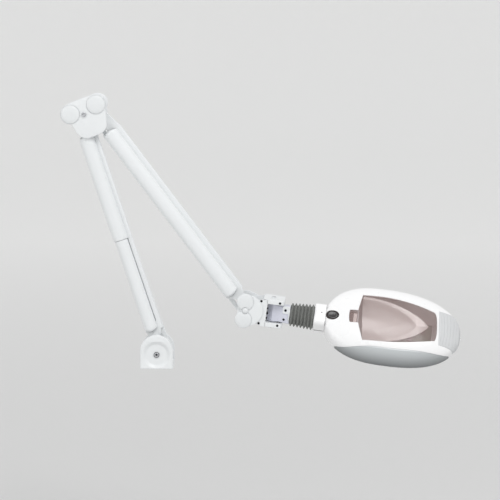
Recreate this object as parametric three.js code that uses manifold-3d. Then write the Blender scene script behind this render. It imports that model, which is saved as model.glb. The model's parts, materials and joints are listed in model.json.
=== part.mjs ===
// Dental operating light: a hub on a fixed spigot, two parallelogram arms that meet in an elbow,
// a wrist, a fork with a swivel block, and a lamp head that rolls about its own long axis.
// Millimetres, +Z up. The arms move in the XZ plane, and the front of the light faces -Y.
// The origin is the centre of the flat foot, on the swivel axis.
import * as THREE from "three";
import { mergeVertices } from "three/addons/utils/BufferGeometryUtils.js";
import Module from "manifold-3d";

const wasm = await Module();
wasm.setup();

// ---------------------------------------------------------------- driving dimensions
const gap = 0.3; // clearance between pieces that touch or turn on each other
const roundSides = 20; // sides of a pin, hole or cap

// Arms: pivot to pivot lengths and resting angles in the XZ plane
const lowerArmLength = 450;
const lowerArmLean = 19.5; // degrees left of vertical
const upperArmLength = 435;
const upperArmDrop = 52.9; // degrees below horizontal
const armPinRadius = 5;
const rodPinRadius = 3;
const rodHalfWidth = 3.5;
const rodEyeRadius = 5.6;

// Layers along Y, front to back
const plateInside = 19; // inner face of every plate that holds the arms
const coverFront = 0.5 - plateInside;
const channelFront = -6;
const channelBack = 4;
const lowerRodLayer = [5.5, 10.5];
const upperRodLayer = [plateInside - 7, plateInside - 1.5];

// Hub
const hubPivotHeight = 25;
const hubHalfWidth = 29;
const hubTopCentre = 31; // height of the centre of the round top
const hubFootHeight = 12;
const hubCheek = 3.2;
const hubCoverThickness = 4.6;
const dishRadius = 23.6;
const dishFloorRadius = 18.5;
const dishDepth = 3.6;
const spigotRadius = 9;
const spigotHeight = 10;
const bushWall = 2;
const leadRadius = 2;
const leadOffset = 5.4;

// Lower arm, measured from the elbow pivot
const lowerTieOffset = 24; // from each arm pivot to the tie rod pivot, along +X
const lowerTube = { start: 46, end: 409, offsetElbow: 11.8, offsetHub: 4.4, reach: 6.5 };
const lowerUpperWidth = 27;
const lowerLowerWidth = 23;
const lowerSeam = 239;
const coverWall = 2;
const channelWall = 2.5;
const tongueHalfWidth = 8;
const tongueEyeRadius = 8.6;

// Upper arm, measured from the elbow pivot
const upperTieOffset = [-3.7, -30.8]; // from each arm pivot to the tie rod pivot, in X and Z
const upperTube = { start: 51, end: 412, offset: -11.8, width: 27, reach: 8.5 };

// Elbow, measured from the lower arm's pivot
const elbowSpread = [44.9, 17.5];
const elbowPlateThickness = 4.5;
const elbowCapRadius = 16.2;
const elbowCapDome = 3.2;
const elbowRim = 2.2; // plate left around a cap
const elbowLobes = [
  { x: 28.7, z: -21.5, radius: 20.5 },
  { x: 44.6, z: -15.3, radius: 17.6 },
];
const elbowScrewRadius = 4.6;

// Wrist: the tilt axis, measured from the upper arm's pivot
const wristOffset = [-0.3, -14.7];
const wristBracket = 2.3;
const wristBracketRadius = 12;
const wristAxleRadius = 4.5;
const wristDiscRadius = 28;
const wristDiscThickness = 3;
const wristCapRadius = 14.3;
const capRim = 0.7;
const wristCapDome = 2.8;
const wristCentreRadius = 5.6;

// Fork and swivel block, along the head line from the tilt axis
const headDrop = 7.24; // degrees below horizontal
const forkCheek = 2.5;
const forkWeb = [29.5, 37];
const panDistance = 47;
const forkEnd = 67;
const forkCorner = 6;
const forkCheekMiddle = 4;
const forkCheekRadius = 18.5;
const forkGap = 16.3; // half the opening between the tongues
const forkTongueThickness = 11.5;
const forkScrewRadius = 2;
const forkScrewDepth = 1.6;
const forkScrewsNear = 26;
const forkScrewsFar = 59;
const blockHalfHeight = 15.5;
const barrelRadius = 9.2;
const blockHalfDepth = 13.5;
const blockEnd = 78;
const panPinRadius = 3.5;
const stemRadius = 8;

// Bellows and neck
const bellowsRidges = 7;
const bellowsRadius = [20.5, 23]; // ridge radius at the block and at the neck
const bellowsGroove = 3.2;
const bellowsBore = 14;
const neckStart = 121;
const headStart = 141;
const neckHalfWidth = 21.5;
const neckHalfDepth = 19.5;
const neckWall = 3;
const bearingRadius = 12.5;
const bearingLength = 7;
const stemReach = 6; // stem past the bearing

// Head, along the head line from headStart; its face looks along -Y before the roll
const headRoll = 37; // degrees that the face is turned up
const headLength = 240.6;
const headHalfWidth = 72;
const widestAt = 101;
const thickestAt = 115;
const rimLevel = -6; // height of the widest line, measured towards the face
const crownHeight = 30.5;
const backDepth = 35;
const nearCrown = 16; // face height where the head meets the neck
const nearBack = 17;
const shellWall = 3;
const partingLevel = -16;
const panelRecess = 1.4;
const gripLength = 40.6;
const gripFrom = headLength - gripLength;
const panel = { from: 20, to: gripFrom + 22, low: -14, lowerHigh: 24.3, upperHigh: 4, blunt: 2 };
const gripHalfWidth = 34;
const gripLow = -12;
const gripProud = 1.2;
const windowSize = { from: 65, to: gripFrom - 10, nearHalf: 45, farHalf: 29, bulge: 7 };
const windowTab = { from: 41, to: 57, half: 12.5 };

// Light source and inner pieces, in the head's own coordinates
const bowl = { at: 75, from: 63, under: 3.2, length: 84, width: 40, depth: 31, wall: 1.6 };
const leaf = { from: 66, tip: windowSize.to - 8, half: 44, thickness: 1.6 };
const sourceBlock = { from: 42, to: 56, half: 12, low: 3, high: 16 };
const heatSink = { from: 26, to: 58, half: 26, low: -18, high: 0, base: 3, fins: 7, fin: 2.4 };
const board = { from: 96, to: 190, half: 28, low: -25, thickness: 1.6 };
const button = { at: 12, halfLength: 9.8, halfWidth: 7.4, proud: 1.2, depth: 9, rim: 1.6 };

// ---------------------------------------------------------------- finishes
const finishes = {
  armPaint: [0xebedef, 0.38, 0.0],
  headPaint: [0xfcfcfd, 0.3, 0.0],
  capPlastic: [0xe9edee, 0.3, 0.0],
  blockPaint: [0xd3d3dc, 0.4, 0.2],
  steel: [0xa9acb0, 0.3, 1.0],
  darkSteel: [0x3c3d40, 0.4, 1.0],
  bronze: [0xa8875a, 0.45, 1.0],
  rubber: [0x868880, 0.8, 0.0],
  darkRubber: [0x2c2d2e, 0.8, 0.0],
  panelMetal: [0xa9adae, 0.35, 0.8],
  gripPlastic: [0xdadada, 0.55, 0.0],
  tintedWindow: [0xcfc2bf, 0.1, 0.0],
  mirror: [0xdfdfe2, 0.08, 1.0],
  sourceBody: [0x6a5958, 0.5, 0.0],
  aluminium: [0xb9bcc0, 0.45, 1.0],
  boardGreen: [0x2f5d43, 0.6, 0.0],
  blackGloss: [0x232125, 0.1, 0.0],
};
const materials = {};
for (const [name, [color, roughness, metalness]] of Object.entries(finishes)) {
  materials[name] = new THREE.MeshStandardMaterial({ name, color, roughness, metalness });
}

// ---------------------------------------------------------------- solids
const radians = THREE.MathUtils.degToRad;
const point = (x, z) => new THREE.Vector2(x, z);

function signedVolume(geometry) {
  const corners = geometry.attributes.position;
  const index = geometry.index;
  const [a, b, c] = [new THREE.Vector3(), new THREE.Vector3(), new THREE.Vector3()];
  let sum = 0;
  for (let i = 0; i < index.count; i += 3) {
    a.fromBufferAttribute(corners, index.getX(i));
    b.fromBufferAttribute(corners, index.getX(i + 1));
    c.fromBufferAttribute(corners, index.getX(i + 2));
    sum += a.dot(b.cross(c)) / 6;
  }
  return sum;
}

// Shared vertices merged, empty triangles dropped, and every face turned outward.
function tidy(geometry) {
  const bare = geometry.clone();
  bare.deleteAttribute("normal");
  bare.deleteAttribute("uv");
  const merged = mergeVertices(bare, 1e-4);
  const kept = [];
  for (let i = 0; i < merged.index.count; i += 3) {
    const corners = [0, 1, 2].map((k) => merged.index.getX(i + k));
    if (new Set(corners).size === 3) kept.push(...corners);
  }
  merged.setIndex(kept);
  if (signedVolume(merged) < 0) {
    for (let i = 0; i < kept.length; i += 3) {
      [kept[i], kept[i + 1]] = [kept[i + 1], kept[i]];
    }
    merged.setIndex(kept);
  }
  return merged;
}

function solid(geometry) {
  const clean = tidy(geometry);
  return new wasm.Manifold(
    new wasm.Mesh({
      numProp: 3,
      vertProperties: new Float32Array(clean.attributes.position.array),
      triVerts: new Uint32Array(clean.index.array),
    }),
  );
}

function shaped(body) {
  const mesh = body.getMesh();
  const geometry = new THREE.BufferGeometry();
  geometry.setAttribute("position", new THREE.BufferAttribute(mesh.vertProperties, 3));
  geometry.setIndex(new THREE.BufferAttribute(mesh.triVerts, 1));
  return geometry;
}

const join = (...parts) => shaped(parts.map(solid).reduce((all, part) => all.add(part)));
const cut = (base, ...tools) => shaped(tools.map(solid).reduce((all, t) => all.subtract(t), solid(base)));
const common = (first, second) => shaped(solid(first).intersect(solid(second)));

function extruded(outline, depth, holes) {
  const shape = new THREE.Shape(outline);
  shape.holes = holes.map((hole) => new THREE.Path(hole));
  return new THREE.ExtrudeGeometry(shape, { depth, bevelEnabled: false });
}

// Outline in X and Z, thickness along Y
function plate(outline, yLow, yHigh, holes = []) {
  return extruded(outline, yHigh - yLow, holes).rotateX(Math.PI / 2).translate(0, yHigh, 0);
}

// Outline in X and Y, thickness along Z
function slab(outline, zLow, zHigh, holes = []) {
  return extruded(outline, zHigh - zLow, holes).translate(0, 0, zLow);
}

// Section given as [z, y] points, length along X
function bar(section, xLow, xHigh) {
  const outline = section.map(([z, y]) => point(-z, y));
  return extruded(outline, xHigh - xLow, []).rotateY(Math.PI / 2).translate(xLow, 0, 0);
}

function box(xRange, yRange, zRange) {
  const spans = [xRange, yRange, zRange];
  const size = spans.map(([low, high]) => high - low);
  const middle = spans.map(([low, high]) => (low + high) / 2);
  return new THREE.BoxGeometry(...size).translate(...middle);
}

function ring(x, z, radius, sides = roundSides) {
  const corner = (_, i) => {
    const angle = (2 * Math.PI * i) / sides;
    return point(x + radius * Math.cos(angle), z + radius * Math.sin(angle));
  };
  return Array.from({ length: sides }, corner);
}

const pin = (x, z, radius, yLow, yHigh) => plate(ring(x, z, radius), yLow, yHigh);

// Convex outline around a set of points
function wrap(points) {
  const sorted = [...points].sort((p, q) => p.x - q.x || p.y - q.y);
  const half = (list) => {
    const chain = [];
    for (const p of list) {
      while (chain.length > 1) {
        const [a, b] = chain.slice(-2);
        if ((b.x - a.x) * (p.y - a.y) - (b.y - a.y) * (p.x - a.x) > 1e-9) break;
        chain.pop();
      }
      chain.push(p);
    }
    return chain.slice(0, -1);
  };
  return [...half(sorted), ...half(sorted.reverse())];
}

// Body of revolution about a line along Y; the profile is [radius, y] from axis to axis
function turned(x, z, profile, sides = roundSides) {
  const points = profile.map(([radius, y]) => point(radius, y));
  return new THREE.LatheGeometry(points, sides).translate(x, 0, z);
}

// Domed cap that stands on a front plate
function domedCap(x, z, radius, seat, dome) {
  const crown = [0.97, 0.85, 0.6].map((share) => [
    radius * share,
    seat + 0.8 + (dome - 0.8) * Math.sqrt(1 - share ** 4),
  ]);
  const profile = [[0, seat], [radius, seat], [radius, seat + 0.8], ...crown, [0, seat + dome]];
  return turned(x, z, profile.map(([r, y]) => [r, -y]));
}

class Helix extends THREE.Curve {
  constructor(radius, from, to, turns, z, y) {
    super();
    Object.assign(this, { radius, from, to, turns, z, y });
  }

  getPoint(t, target = new THREE.Vector3()) {
    const angle = 2 * Math.PI * this.turns * t;
    const x = this.from + (this.to - this.from) * t;
    return target.set(x, this.y + this.radius * Math.cos(angle), this.z + this.radius * Math.sin(angle));
  }
}

// Extension spring along X
function spring(from, to, z, y) {
  const wire = 1.2;
  const turns = 9;
  const path = new Helix(3.6, from, to, turns, z, y);
  const section = new THREE.Shape(ring(0, 0, wire, 5));
  return new THREE.ExtrudeGeometry(section, { steps: turns * 9, bevelEnabled: false, extrudePath: path });
}

// ---------------------------------------------------------------- places
const light = new THREE.Group();

function place(parent, name, geometry, finish) {
  const mesh = new THREE.Mesh(tidy(geometry), materials[finish]);
  mesh.name = name;
  parent.add(mesh);
}

// A frame at x, z whose +X points the given angle below horizontal
function frameAt(parent, x, z, angleDown) {
  const group = new THREE.Group();
  group.position.set(x, 0, z);
  group.rotation.y = radians(angleDown);
  parent.add(group);
  return group;
}

const lowerArmDown = 90 - lowerArmLean;
const along = (angleDown, length) => [
  length * Math.cos(radians(angleDown)),
  -length * Math.sin(radians(angleDown)),
];
const [hubX, hubZ] = [0, hubPivotHeight];
const [lowerDx, lowerDz] = along(lowerArmDown, lowerArmLength);
const [elbowX, elbowZ] = [hubX - lowerDx, hubZ - lowerDz];
const [upperX, upperZ] = [elbowX + elbowSpread[0], elbowZ + elbowSpread[1]];
const [upperDx, upperDz] = along(upperArmDrop, upperArmLength);
const [carrierX, carrierZ] = [upperX + upperDx, upperZ + upperDz]; // upper arm's pivot at the wrist
const [tiltX, tiltZ] = [carrierX + wristOffset[0], carrierZ + wristOffset[1]];

// ---------------------------------------------------------------- fixed mount
const lead = { x: 0, y: leadOffset };
const spigotHole = ring(lead.x, lead.y, leadRadius + gap, 12);
place(light, "base_spigot", slab(ring(0, 0, spigotRadius), 0, spigotHeight, [spigotHole]), "steel");
const bushOuter = spigotRadius + gap + bushWall;
const bushBore = ring(0, 0, spigotRadius + gap);
place(light, "spigot_bushing", slab(ring(0, 0, bushOuter), 1, spigotHeight, [bushBore]), "bronze");
place(light, "lead_gland", slab(ring(lead.x, lead.y, leadRadius, 12), 0, spigotHeight), "darkRubber");

// ---------------------------------------------------------------- hub
function hubOutline() {
  const outline = [point(-hubHalfWidth, 0), point(hubHalfWidth, 0)];
  for (let i = 0; i <= 16; i += 1) {
    const angle = (Math.PI * i) / 16;
    outline.push(point(hubHalfWidth * Math.cos(angle), hubTopCentre + hubHalfWidth * Math.sin(angle)));
  }
  return outline;
}
const hubAxleHole = ring(hubX, hubZ, armPinRadius + gap);
const cheekOutside = plateInside + hubCheek;
const lowerRodFoot = hubX + lowerTieOffset;
const hubRodHole = ring(lowerRodFoot, hubZ, rodPinRadius + gap, 12);
const hubHousing = cut(
  join(
    plate(hubOutline(), -cheekOutside, -plateInside, [hubAxleHole]),
    plate(hubOutline(), plateInside, cheekOutside, [hubAxleHole, hubRodHole]),
    box([-hubHalfWidth, hubHalfWidth], [-plateInside - 1, plateInside + 1], [0, hubFootHeight]),
  ),
  slab(ring(0, 0, bushOuter + gap), -1, spigotHeight + gap),
);
place(light, "hub_housing", hubHousing, "armPaint");

function hubCover(side) {
  const inner = cheekOutside + gap;
  const outer = inner + hubCoverThickness;
  const rings = [[0, outer - dishDepth], [dishFloorRadius, outer - dishDepth], [dishRadius, outer + 0.01]];
  const dish = turned(hubX, hubZ, [...rings, [0, outer + 0.01]].map(([r, y]) => [r, side * y]), 32);
  const [low, high] = side < 0 ? [-outer, -inner] : [inner, outer];
  return cut(plate(hubOutline(), low, high, [hubAxleHole]), dish);
}
place(light, "hub_cover_front", hubCover(-1), "armPaint");
place(light, "hub_cover_back", hubCover(1), "armPaint");
const hubAxleEnd = cheekOutside + gap + hubCoverThickness - dishDepth + 1.5;
place(light, "hub_axle", pin(hubX, hubZ, armPinRadius, -hubAxleEnd, hubAxleEnd), "darkSteel");
const rodPinStart = channelBack + 0.8;
const hubRodPin = plate(ring(lowerRodFoot, hubZ, rodPinRadius, 12), rodPinStart, cheekOutside);
place(light, "hub_rod_pin", hubRodPin, "steel");

// ---------------------------------------------------------------- arms
// A flat channel open to the front, with a tongue and an eye at each end of the pivot line
function armChannel(length, tube, tubeFrame, zLow, zHigh) {
  const section = [
    [zLow, channelFront],
    [zLow + channelWall, channelFront],
    [zLow + channelWall, channelBack - channelWall],
    [zHigh - channelWall, channelBack - channelWall],
    [zHigh - channelWall, channelFront],
    [zHigh, channelFront],
    [zHigh, channelBack],
    [zLow, channelBack],
  ];
  const profile = bar(section, tube.start, tube.end);
  tubeFrame(profile);
  const tongue = (pivot, reach) => {
    const root = [-1, 1].map((side) => point(reach, side * tongueHalfWidth));
    return plate(wrap([...ring(pivot, 0, tongueEyeRadius), ...root]), channelFront, channelBack);
  };
  const holes = [0, length].map((x) => pin(x, 0, armPinRadius + gap, channelFront - 1, channelBack + 1));
  return cut(join(profile, tongue(0, tube.start + 14), tongue(length, tube.end - 14)), ...holes);
}

// Half-round cover that stands on the channel's front edge
function armCover(from, to, middle, width) {
  const seat = channelFront - gap;
  const arc = (inset, turn) =>
    Array.from({ length: 9 }, (_, i) => {
      const angle = (Math.PI * (turn ? 8 - i : i)) / 8;
      const depth = seat - coverFront - inset;
      return [middle + (width / 2 - inset) * Math.cos(angle), seat - depth * Math.sin(angle)];
    });
  return bar([...arc(0, false), ...arc(coverWall, true)], from, to);
}

function tieRod(length, [yLow, yHigh]) {
  const eyes = [0, length].map((x) => pin(x, 0, rodEyeRadius, yLow, yHigh));
  const shaft = box([0, length], [yLow, yHigh], [-rodHalfWidth, rodHalfWidth]);
  const holes = [0, length].map((x) => plate(ring(x, 0, rodPinRadius + gap, 12), yLow - 1, yHigh + 1));
  return cut(join(shaft, ...eyes), ...holes);
}

const lowerFrame = frameAt(light, elbowX, elbowZ, lowerArmDown);
const tubeLean = Math.atan2(lowerTube.offsetElbow - lowerTube.offsetHub, lowerArmLength);
const toLowerTube = (geometry) => geometry.rotateY(tubeLean).translate(0, 0, lowerTube.offsetElbow);
const lowerChannelLow = -lowerLowerWidth / 2;
const lowerChannelHigh = lowerUpperWidth / 2 + lowerTube.reach;
place(
  lowerFrame,
  "lower_arm_channel",
  armChannel(lowerArmLength, lowerTube, toLowerTube, lowerChannelLow, lowerChannelHigh),
  "armPaint",
);
const upperHalf = armCover(lowerTube.start, lowerSeam - gap, 0, lowerUpperWidth);
place(lowerFrame, "lower_arm_cover_upper", toLowerTube(upperHalf), "armPaint");
const lowerHalf = armCover(lowerSeam + gap, lowerTube.end, 0, lowerLowerWidth);
place(lowerFrame, "lower_arm_cover_lower", toLowerTube(lowerHalf), "armPaint");
const springLayer = (channelFront + coverFront) / 2 + 4;
const lowerSpring = spring(lowerTube.start + 30, lowerSeam, 0, springLayer);
place(lowerFrame, "lower_arm_spring", toLowerTube(lowerSpring), "steel");
const lowerRodFrame = frameAt(light, elbowX + lowerTieOffset, elbowZ, lowerArmDown);
place(lowerRodFrame, "lower_tie_rod", tieRod(lowerArmLength, lowerRodLayer), "steel");

const upperFrame = frameAt(light, upperX, upperZ, upperArmDrop);
const upperLow = upperTube.offset - upperTube.width / 2;
const upperHigh = upperTube.offset + upperTube.width / 2 + upperTube.reach;
place(
  upperFrame,
  "upper_arm_channel",
  armChannel(upperArmLength, upperTube, (profile) => profile, upperLow, upperHigh),
  "armPaint",
);
const upperCover = armCover(upperTube.start, upperTube.end, upperTube.offset, upperTube.width);
place(upperFrame, "upper_arm_cover", upperCover, "armPaint");
const upperSpring = spring(upperTube.start + 30, upperTube.start + 190, upperTube.offset, springLayer);
place(upperFrame, "upper_arm_spring", upperSpring, "steel");
const [upperRodX, upperRodZ] = [upperX + upperTieOffset[0], upperZ + upperTieOffset[1]];
const upperRodFrame = frameAt(light, upperRodX, upperRodZ, upperArmDrop);
place(upperRodFrame, "upper_tie_rod", tieRod(upperArmLength, upperRodLayer), "steel");

// ---------------------------------------------------------------- elbow
const elbowPivots = [
  { name: "a", x: elbowX, z: elbowZ },
  { name: "b", x: upperX, z: upperZ },
];
const elbowOutline = wrap([
  ...elbowPivots.flatMap(({ x, z }) => ring(x, z, elbowCapRadius + elbowRim, 32)),
  ...elbowLobes.flatMap(({ x, z, radius }) => ring(elbowX + x, elbowZ + z, radius, 32)),
]);
const elbowPinHoles = elbowPivots.map(({ x, z }) => ring(x, z, armPinRadius + gap));
const lowerRodTop = [elbowX + lowerTieOffset, elbowZ];
const rodHoles = [lowerRodTop, [upperRodX, upperRodZ]].map(([x, z]) => ring(x, z, rodPinRadius + gap, 12));
const elbowOutside = plateInside + elbowPlateThickness;
const elbowFront = plate(elbowOutline, -elbowOutside, -plateInside, elbowPinHoles);
place(light, "elbow_plate_front", elbowFront, "armPaint");
const elbowBack = plate(elbowOutline, plateInside, elbowOutside, [...elbowPinHoles, ...rodHoles]);
place(light, "elbow_plate_back", elbowBack, "armPaint");
for (const { name, x, z } of elbowPivots) {
  place(light, `elbow_pin_${name}`, pin(x, z, armPinRadius, -elbowOutside, elbowOutside), "steel");
  const cap = domedCap(x, z, elbowCapRadius, elbowOutside + gap, elbowCapDome);
  place(light, `elbow_cap_${name}`, cap, "capPlastic");
}
const elbowScrew = domedCap(...lowerRodTop, elbowScrewRadius, elbowOutside + gap, 1.6);
place(light, "elbow_screw", elbowScrew, "steel");
const rodPin = (x, z, from, to) => plate(ring(x, z, rodPinRadius, 12), from, to);
place(light, "elbow_rod_pin_lower", rodPin(...lowerRodTop, rodPinStart, elbowOutside), "steel");
const upperPinStart = upperRodLayer[0] - 0.5;
place(light, "elbow_rod_pin_upper", rodPin(upperRodX, upperRodZ, upperPinStart, elbowOutside), "steel");

// ---------------------------------------------------------------- wrist
const wristRod = [carrierX + upperTieOffset[0], carrierZ + upperTieOffset[1]];
const bracketOutline = wrap([
  ...ring(carrierX, carrierZ, wristBracketRadius),
  ...ring(...wristRod, wristBracketRadius - 2),
  ...ring(tiltX, tiltZ, wristBracketRadius + 2),
]);
const bracketOutside = plateInside + wristBracket;
const carrierHole = ring(carrierX, carrierZ, armPinRadius + gap);
const tiltHole = ring(tiltX, tiltZ, wristAxleRadius + gap);
const wristRodHole = ring(...wristRod, rodPinRadius + gap, 12);
const bracketFront = plate(bracketOutline, -bracketOutside, -plateInside, [carrierHole, tiltHole]);
place(light, "wrist_bracket_front", bracketFront, "steel");
const bracketHoles = [carrierHole, tiltHole, wristRodHole];
place(light, "wrist_bracket_back", plate(bracketOutline, plateInside, bracketOutside, bracketHoles), "steel");
place(light, "wrist_pin", pin(carrierX, carrierZ, armPinRadius, -bracketOutside, bracketOutside), "steel");
place(light, "wrist_rod_pin", rodPin(...wristRod, upperPinStart, bracketOutside), "steel");

const cheekInside = bracketOutside + gap;
const forkHalfDepth = cheekInside + forkCheek;
const discInside = forkHalfDepth + gap;
const discOutside = discInside + wristDiscThickness;
const discOutline = ring(tiltX, tiltZ, wristDiscRadius, 36);
// The front disc is round on the fork's side and follows its two caps on the arm's side
const discShapes = [
  ring(carrierX, carrierZ, wristCapRadius + capRim, 28),
  ring(...wristRod, wristCapRadius + capRim, 28),
  wrap(ring(tiltX + 3, tiltZ, wristDiscRadius, 36).filter(({ x }) => x > tiltX - 2)),
];
const discFront = cut(
  join(...discShapes.map((shape) => plate(shape, -discOutside, -discInside))),
  plate(tiltHole, -discOutside - 1, 0),
);
place(light, "wrist_disc_front", discFront, "armPaint");
place(light, "wrist_disc_back", plate(discOutline, discInside, discOutside, [tiltHole]), "armPaint");
place(light, "wrist_axle", pin(tiltX, tiltZ, wristAxleRadius, -discOutside, discOutside), "steel");

// The upper and lower caps stop short of the small centre cap between them
function wristCap(x, z) {
  const cap = domedCap(x, z, wristCapRadius, discOutside + gap, wristCapDome);
  const room = pin(tiltX, tiltZ, wristCentreRadius + gap, -discOutside - 10, 0);
  const half = z > tiltZ ? [tiltZ - 60, tiltZ + gap] : [tiltZ - gap, tiltZ + 60];
  return cut(cap, room, box([tiltX - 60, tiltX + 60], [-discOutside - 10, 0], half));
}
place(light, "wrist_cap_upper", wristCap(carrierX, carrierZ), "capPlastic");
place(light, "wrist_cap_lower", wristCap(...wristRod), "capPlastic");
const centreCap = domedCap(tiltX, tiltZ, wristCentreRadius, discOutside + gap, wristCapDome + 0.8);
place(light, "wrist_centre_cap", centreCap, "capPlastic");

// ---------------------------------------------------------------- fork
const headLine = frameAt(light, tiltX, tiltZ, headDrop);
const forkTop = forkGap + forkTongueThickness;
const screwHeight = forkGap + forkTongueThickness / 2 - 0.8;
function forkCheekPlate(yLow, yHigh) {
  const foot = [-1, 1].map((side) => point(forkWeb[1], side * forkTop));
  const outline = wrap([...ring(forkCheekMiddle, 0, forkCheekRadius, 28), ...foot]);
  return plate(outline, yLow, yHigh, [ring(0, 0, wristAxleRadius + gap)]);
}
function forkTongue(zLow, zHigh) {
  const root = [-1, 1].map((side) => point(forkWeb[0], side * forkHalfDepth));
  const corner = forkHalfDepth - forkCorner;
  const tips = [-1, 1].flatMap((side) => ring(forkEnd - forkCorner, side * corner, forkCorner, 16));
  return slab(wrap([...tips, ...root]), zLow, zHigh, [ring(panDistance, 0, panPinRadius + gap, 12)]);
}
const screwSpots = [
  ["near", forkScrewsNear],
  ["far", forkScrewsFar],
].flatMap(([where, x]) => [
  { name: `fork_screw_top_${where}`, x, z: screwHeight },
  { name: `fork_screw_bottom_${where}`, x, z: -screwHeight },
]);
const screwWells = screwSpots.map(({ x, z }) => {
  const well = ring(x, z, forkScrewRadius + gap, 12);
  return plate(well, -forkHalfDepth - 1, forkScrewDepth - forkHalfDepth);
});
const fork = cut(
  join(
    forkCheekPlate(-forkHalfDepth, -cheekInside),
    forkCheekPlate(cheekInside, forkHalfDepth),
    box(forkWeb, [-forkHalfDepth, forkHalfDepth], [-forkTop, forkTop]),
    forkTongue(forkGap, forkTop),
    forkTongue(-forkTop, -forkGap),
  ),
  ...screwWells,
);
place(headLine, "fork", fork, "armPaint");
for (const { name, x, z } of screwSpots) {
  const screw = plate(ring(x, z, forkScrewRadius, 12), -forkHalfDepth, forkScrewDepth - gap - forkHalfDepth);
  place(headLine, name, screw, "darkSteel");
}

// ---------------------------------------------------------------- swivel block
const blockPlan = wrap([
  ...ring(panDistance, 0, barrelRadius, 24),
  point(panDistance + 6, -blockHalfDepth),
  point(panDistance + 6, blockHalfDepth),
  point(blockEnd, -blockHalfDepth),
  point(blockEnd, blockHalfDepth),
]);
const panHole = ring(panDistance, 0, panPinRadius + gap, 12);
const swivelBlock = slab(blockPlan, -blockHalfHeight, blockHalfHeight, [panHole]);
place(headLine, "swivel_block", swivelBlock, "blockPaint");
place(headLine, "pan_pin", slab(ring(panDistance, 0, panPinRadius, 12), -forkTop, forkTop), "steel");
const toHeadAxis = (geometry) => geometry.rotateZ(-Math.PI / 2);
const stemEnd = neckStart + bearingLength + stemReach;
const rollStem = [[0, blockEnd + gap], [stemRadius, blockEnd + gap], [stemRadius, stemEnd], [0, stemEnd]];
place(headLine, "roll_stem", toHeadAxis(turned(0, 0, rollStem)), "steel");

// ---------------------------------------------------------------- bellows and neck
const head = new THREE.Group();
head.rotation.x = radians(-headRoll);
headLine.add(head);

function bellows() {
  const from = blockEnd + gap;
  const to = neckStart - gap;
  const pitch = (to - from) / bellowsRidges;
  const skin = [];
  for (let i = 0; i < bellowsRidges; i += 1) {
    const ridge = THREE.MathUtils.lerp(...bellowsRadius, i / (bellowsRidges - 1));
    const start = from + i * pitch;
    skin.push([ridge - bellowsGroove, start], [ridge, start + 0.3 * pitch], [ridge, start + 0.7 * pitch]);
  }
  const last = bellowsRadius[1] - bellowsGroove;
  const profile = [[bellowsBore, from], ...skin, [last, to], [bellowsBore, to], [bellowsBore, from]];
  return toHeadAxis(turned(0, 0, profile));
}
place(head, "bellows", bellows(), "rubber");

function roundedBox(xRange, halfY, halfZ, radius) {
  const corners = [[1, 1], [-1, 1], [-1, -1], [1, -1]].flatMap(([sideZ, sideY]) =>
    ring(sideZ * (halfZ - radius), sideY * (halfY - radius), radius, 16),
  );
  return bar(wrap(corners).map(({ x, y }) => [x, y]), ...xRange);
}
const neckEnd = headStart - gap;
const neckInner = [neckStart + neckWall, neckEnd + 1];
const bearingBore = [[0, neckStart - 1], [bearingRadius + gap, neckStart - 1]];
const bearingBack = [[bearingRadius + gap, neckStart + 10], [0, neckStart + 10]];
const neck = cut(
  roundedBox([neckStart, neckEnd], neckHalfDepth, neckHalfWidth, 7),
  roundedBox(neckInner, neckHalfDepth - neckWall, neckHalfWidth - neckWall, 4),
  toHeadAxis(turned(0, 0, [...bearingBore, ...bearingBack])),
);
place(head, "neck_housing", neck, "headPaint");
const bearingFrom = neckStart + gap;
const bearingTo = bearingFrom + bearingLength;
const bearing = [
  [stemRadius + gap, bearingFrom],
  [bearingRadius, bearingFrom],
  [bearingRadius, bearingTo],
  [stemRadius + gap, bearingTo],
  [stemRadius + gap, bearingFrom],
];
place(head, "roll_bearing", toHeadAxis(turned(0, 0, bearing)), "bronze");

// ---------------------------------------------------------------- head shells
// Sizes of the head's outside at a distance from its near end
const fullness = 2.5;
function plan(u) {
  const reach = u < widestAt ? widestAt + 3 : headLength - widestAt;
  return headHalfWidth * (1 - Math.min(1, Math.abs(u - widestAt) / reach) ** fullness) ** (1 / 2.1);
}
const farShare = (u) => Math.sqrt(1 - Math.min(1, (u - thickestAt) / (headLength - thickestAt)) ** 2.4);
const nearShare = (u, power) => Math.max(0, (thickestAt - u) / thickestAt) ** power;
function crown(u) {
  if (u > thickestAt) return rimLevel + (crownHeight - rimLevel) * farShare(u);
  return crownHeight - (crownHeight - nearCrown) * nearShare(u, 1.6);
}
function back(u) {
  if (u > thickestAt) return rimLevel - (backDepth + rimLevel) * farShare(u);
  return -backDepth + (backDepth - nearBack) * nearShare(u, 2);
}

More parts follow.
